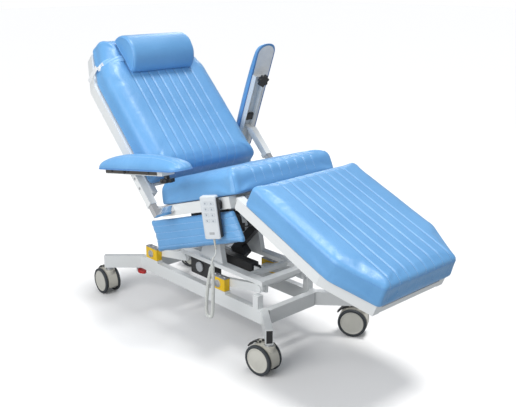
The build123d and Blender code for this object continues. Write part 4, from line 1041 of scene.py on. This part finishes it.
# ---------------------------------- CAD nodes that stay
LOOK_OF = {
    "white_powder_coat": WHITE, "black_plastic": BLACK, "yellow_plastic": YELLOW, "red_plastic": RED,
    "bright_steel": STEEL, "cream_plastic": CREAM, "cream_and_grey_wheel": DISC, "chrome_stem": CHROME,
    "blue_leatherette": BLUE, "light_grey_plastic": GREY, "white_cord": CORD,
}
ROUNDED = {
    "base_frame": 1.6, "seat_frame": 1.6, "backrest_frame": 1.6, "legrest_frame": 1.6, "chassis_frame": 1.2,
    "pivot_blocks": 2.0, "armrest_post_right": 1.2, "armrest_post_left": 1.2, "foot_pedal": 2.5,
    "control_box": 1.0, "armrest_knob_right": 1.5, "armrest_knob_left": 1.5, "handset_shell": 0.8,
    "handset_hook": 1.2, "armrest_mounts": 0.6, "rear_lift_arms": 1.0, "front_lift_arms": 1.0,
    "armrest_channel_right": 0.5, "armrest_channel_left": 0.5,
}
slots = {part["node"]: part["material_slot"] for part in frame["record"]["subparts"]}
for node, obj in frame["nodes"].items():
    if node not in slots:
        continue
    dress(obj, LOOK_OF[slots[node]])
    if node.endswith("actuator_body") or node == "control_box":
        dress(obj, CASTING)
    if node.startswith("handset_button"):
        dress(obj, BUTTON_LOOK)
    width = 0.5 if node.startswith("handset_button") else ROUNDED.get(node)
    if width and not obj.hide_render:
        weld = obj.modifiers.new("weld", "WELD")
        weld.merge_threshold = 0.00002
        edge = obj.modifiers.new("edge", "BEVEL")
        edge.width = width * 0.001
        edge.segments = 2
        edge.limit_method = "ANGLE"
        edge.angle_limit = math.radians(40)

# ---------------------------------- floor and light


def by_ray(tree, to_light, to_camera, output):
    """One shader for what lights the object, and another for what the camera sees."""
    seen = tree.nodes.new("ShaderNodeLightPath")
    either = tree.nodes.new("ShaderNodeMixShader")
    tree.links.new(seen.outputs["Is Camera Ray"], either.inputs["Fac"])
    tree.links.new(to_light.outputs[0], either.inputs[1])
    tree.links.new(to_camera.outputs[0], either.inputs[2])
    tree.links.new(either.outputs[0], tree.nodes[output].inputs["Surface"])


floor_mesh = bpy.data.meshes.new("floor")
floor_mesh.from_pydata([(-30, -30, 0), (30, -30, 0), (30, 30, 0), (-30, 30, 0)], [], [(0, 1, 2, 3)])
floor = in_scene("floor", floor_mesh)
floor_look = Shader("floor_look", base_color=(0.93, 0.93, 0.935, 1), roughness=0.75)
darker = floor_look.node("ShaderNodeBsdfDiffuse", Color=(0.42, 0.425, 0.43, 1))
by_ray(floor_look.tree, darker, floor_look.bsdf, "Material Output")
dress(floor, floor_look.material)

world = bpy.data.worlds.new("world")
bpy.context.scene.world = world
world.use_nodes = True
room = world.node_tree.nodes["Background"]
room.inputs["Color"].default_value = (0.93, 0.96, 1.0, 1)
room.inputs["Strength"].default_value = 0.45
backdrop = world.node_tree.nodes.new("ShaderNodeBackground")
backdrop.inputs["Color"].default_value = (1, 1, 1, 1)
backdrop.inputs["Strength"].default_value = 1.0
by_ray(world.node_tree, room, backdrop, "World Output")

sun_data = bpy.data.lights.new("sun", "SUN")
sun_data.energy = 2.2
sun_data.angle = math.radians(18)
sun_data.color = (1.0, 0.99, 0.97)
sun = in_scene("sun", sun_data)
sun.rotation_euler = aimed(Vector((-0.14, 0.08, -0.98)))


def lamp(name, place, target, size, power, colour):
    """A rectangular lamp that looks at a target."""
    data = bpy.data.lights.new(name, "AREA")
    data.shape = "RECTANGLE"
    data.size, data.size_y = size
    data.energy = power
    data.color = colour
    obj = in_scene(name, data)
    obj.location = place
    obj.rotation_euler = aimed(Vector(target) - Vector(place))


lamp("key", (-2.7, -0.3, 1.9), (0, 0, 0.7), (2.2, 2.0), 60, (1.0, 0.99, 0.97))
lamp("rim", (2.4, 2.6, 2.6), (0, 0, 0.8), (1.4, 1.4), 22, (0.96, 0.98, 1.0))

bpy.context.scene.view_settings.view_transform = "Standard"
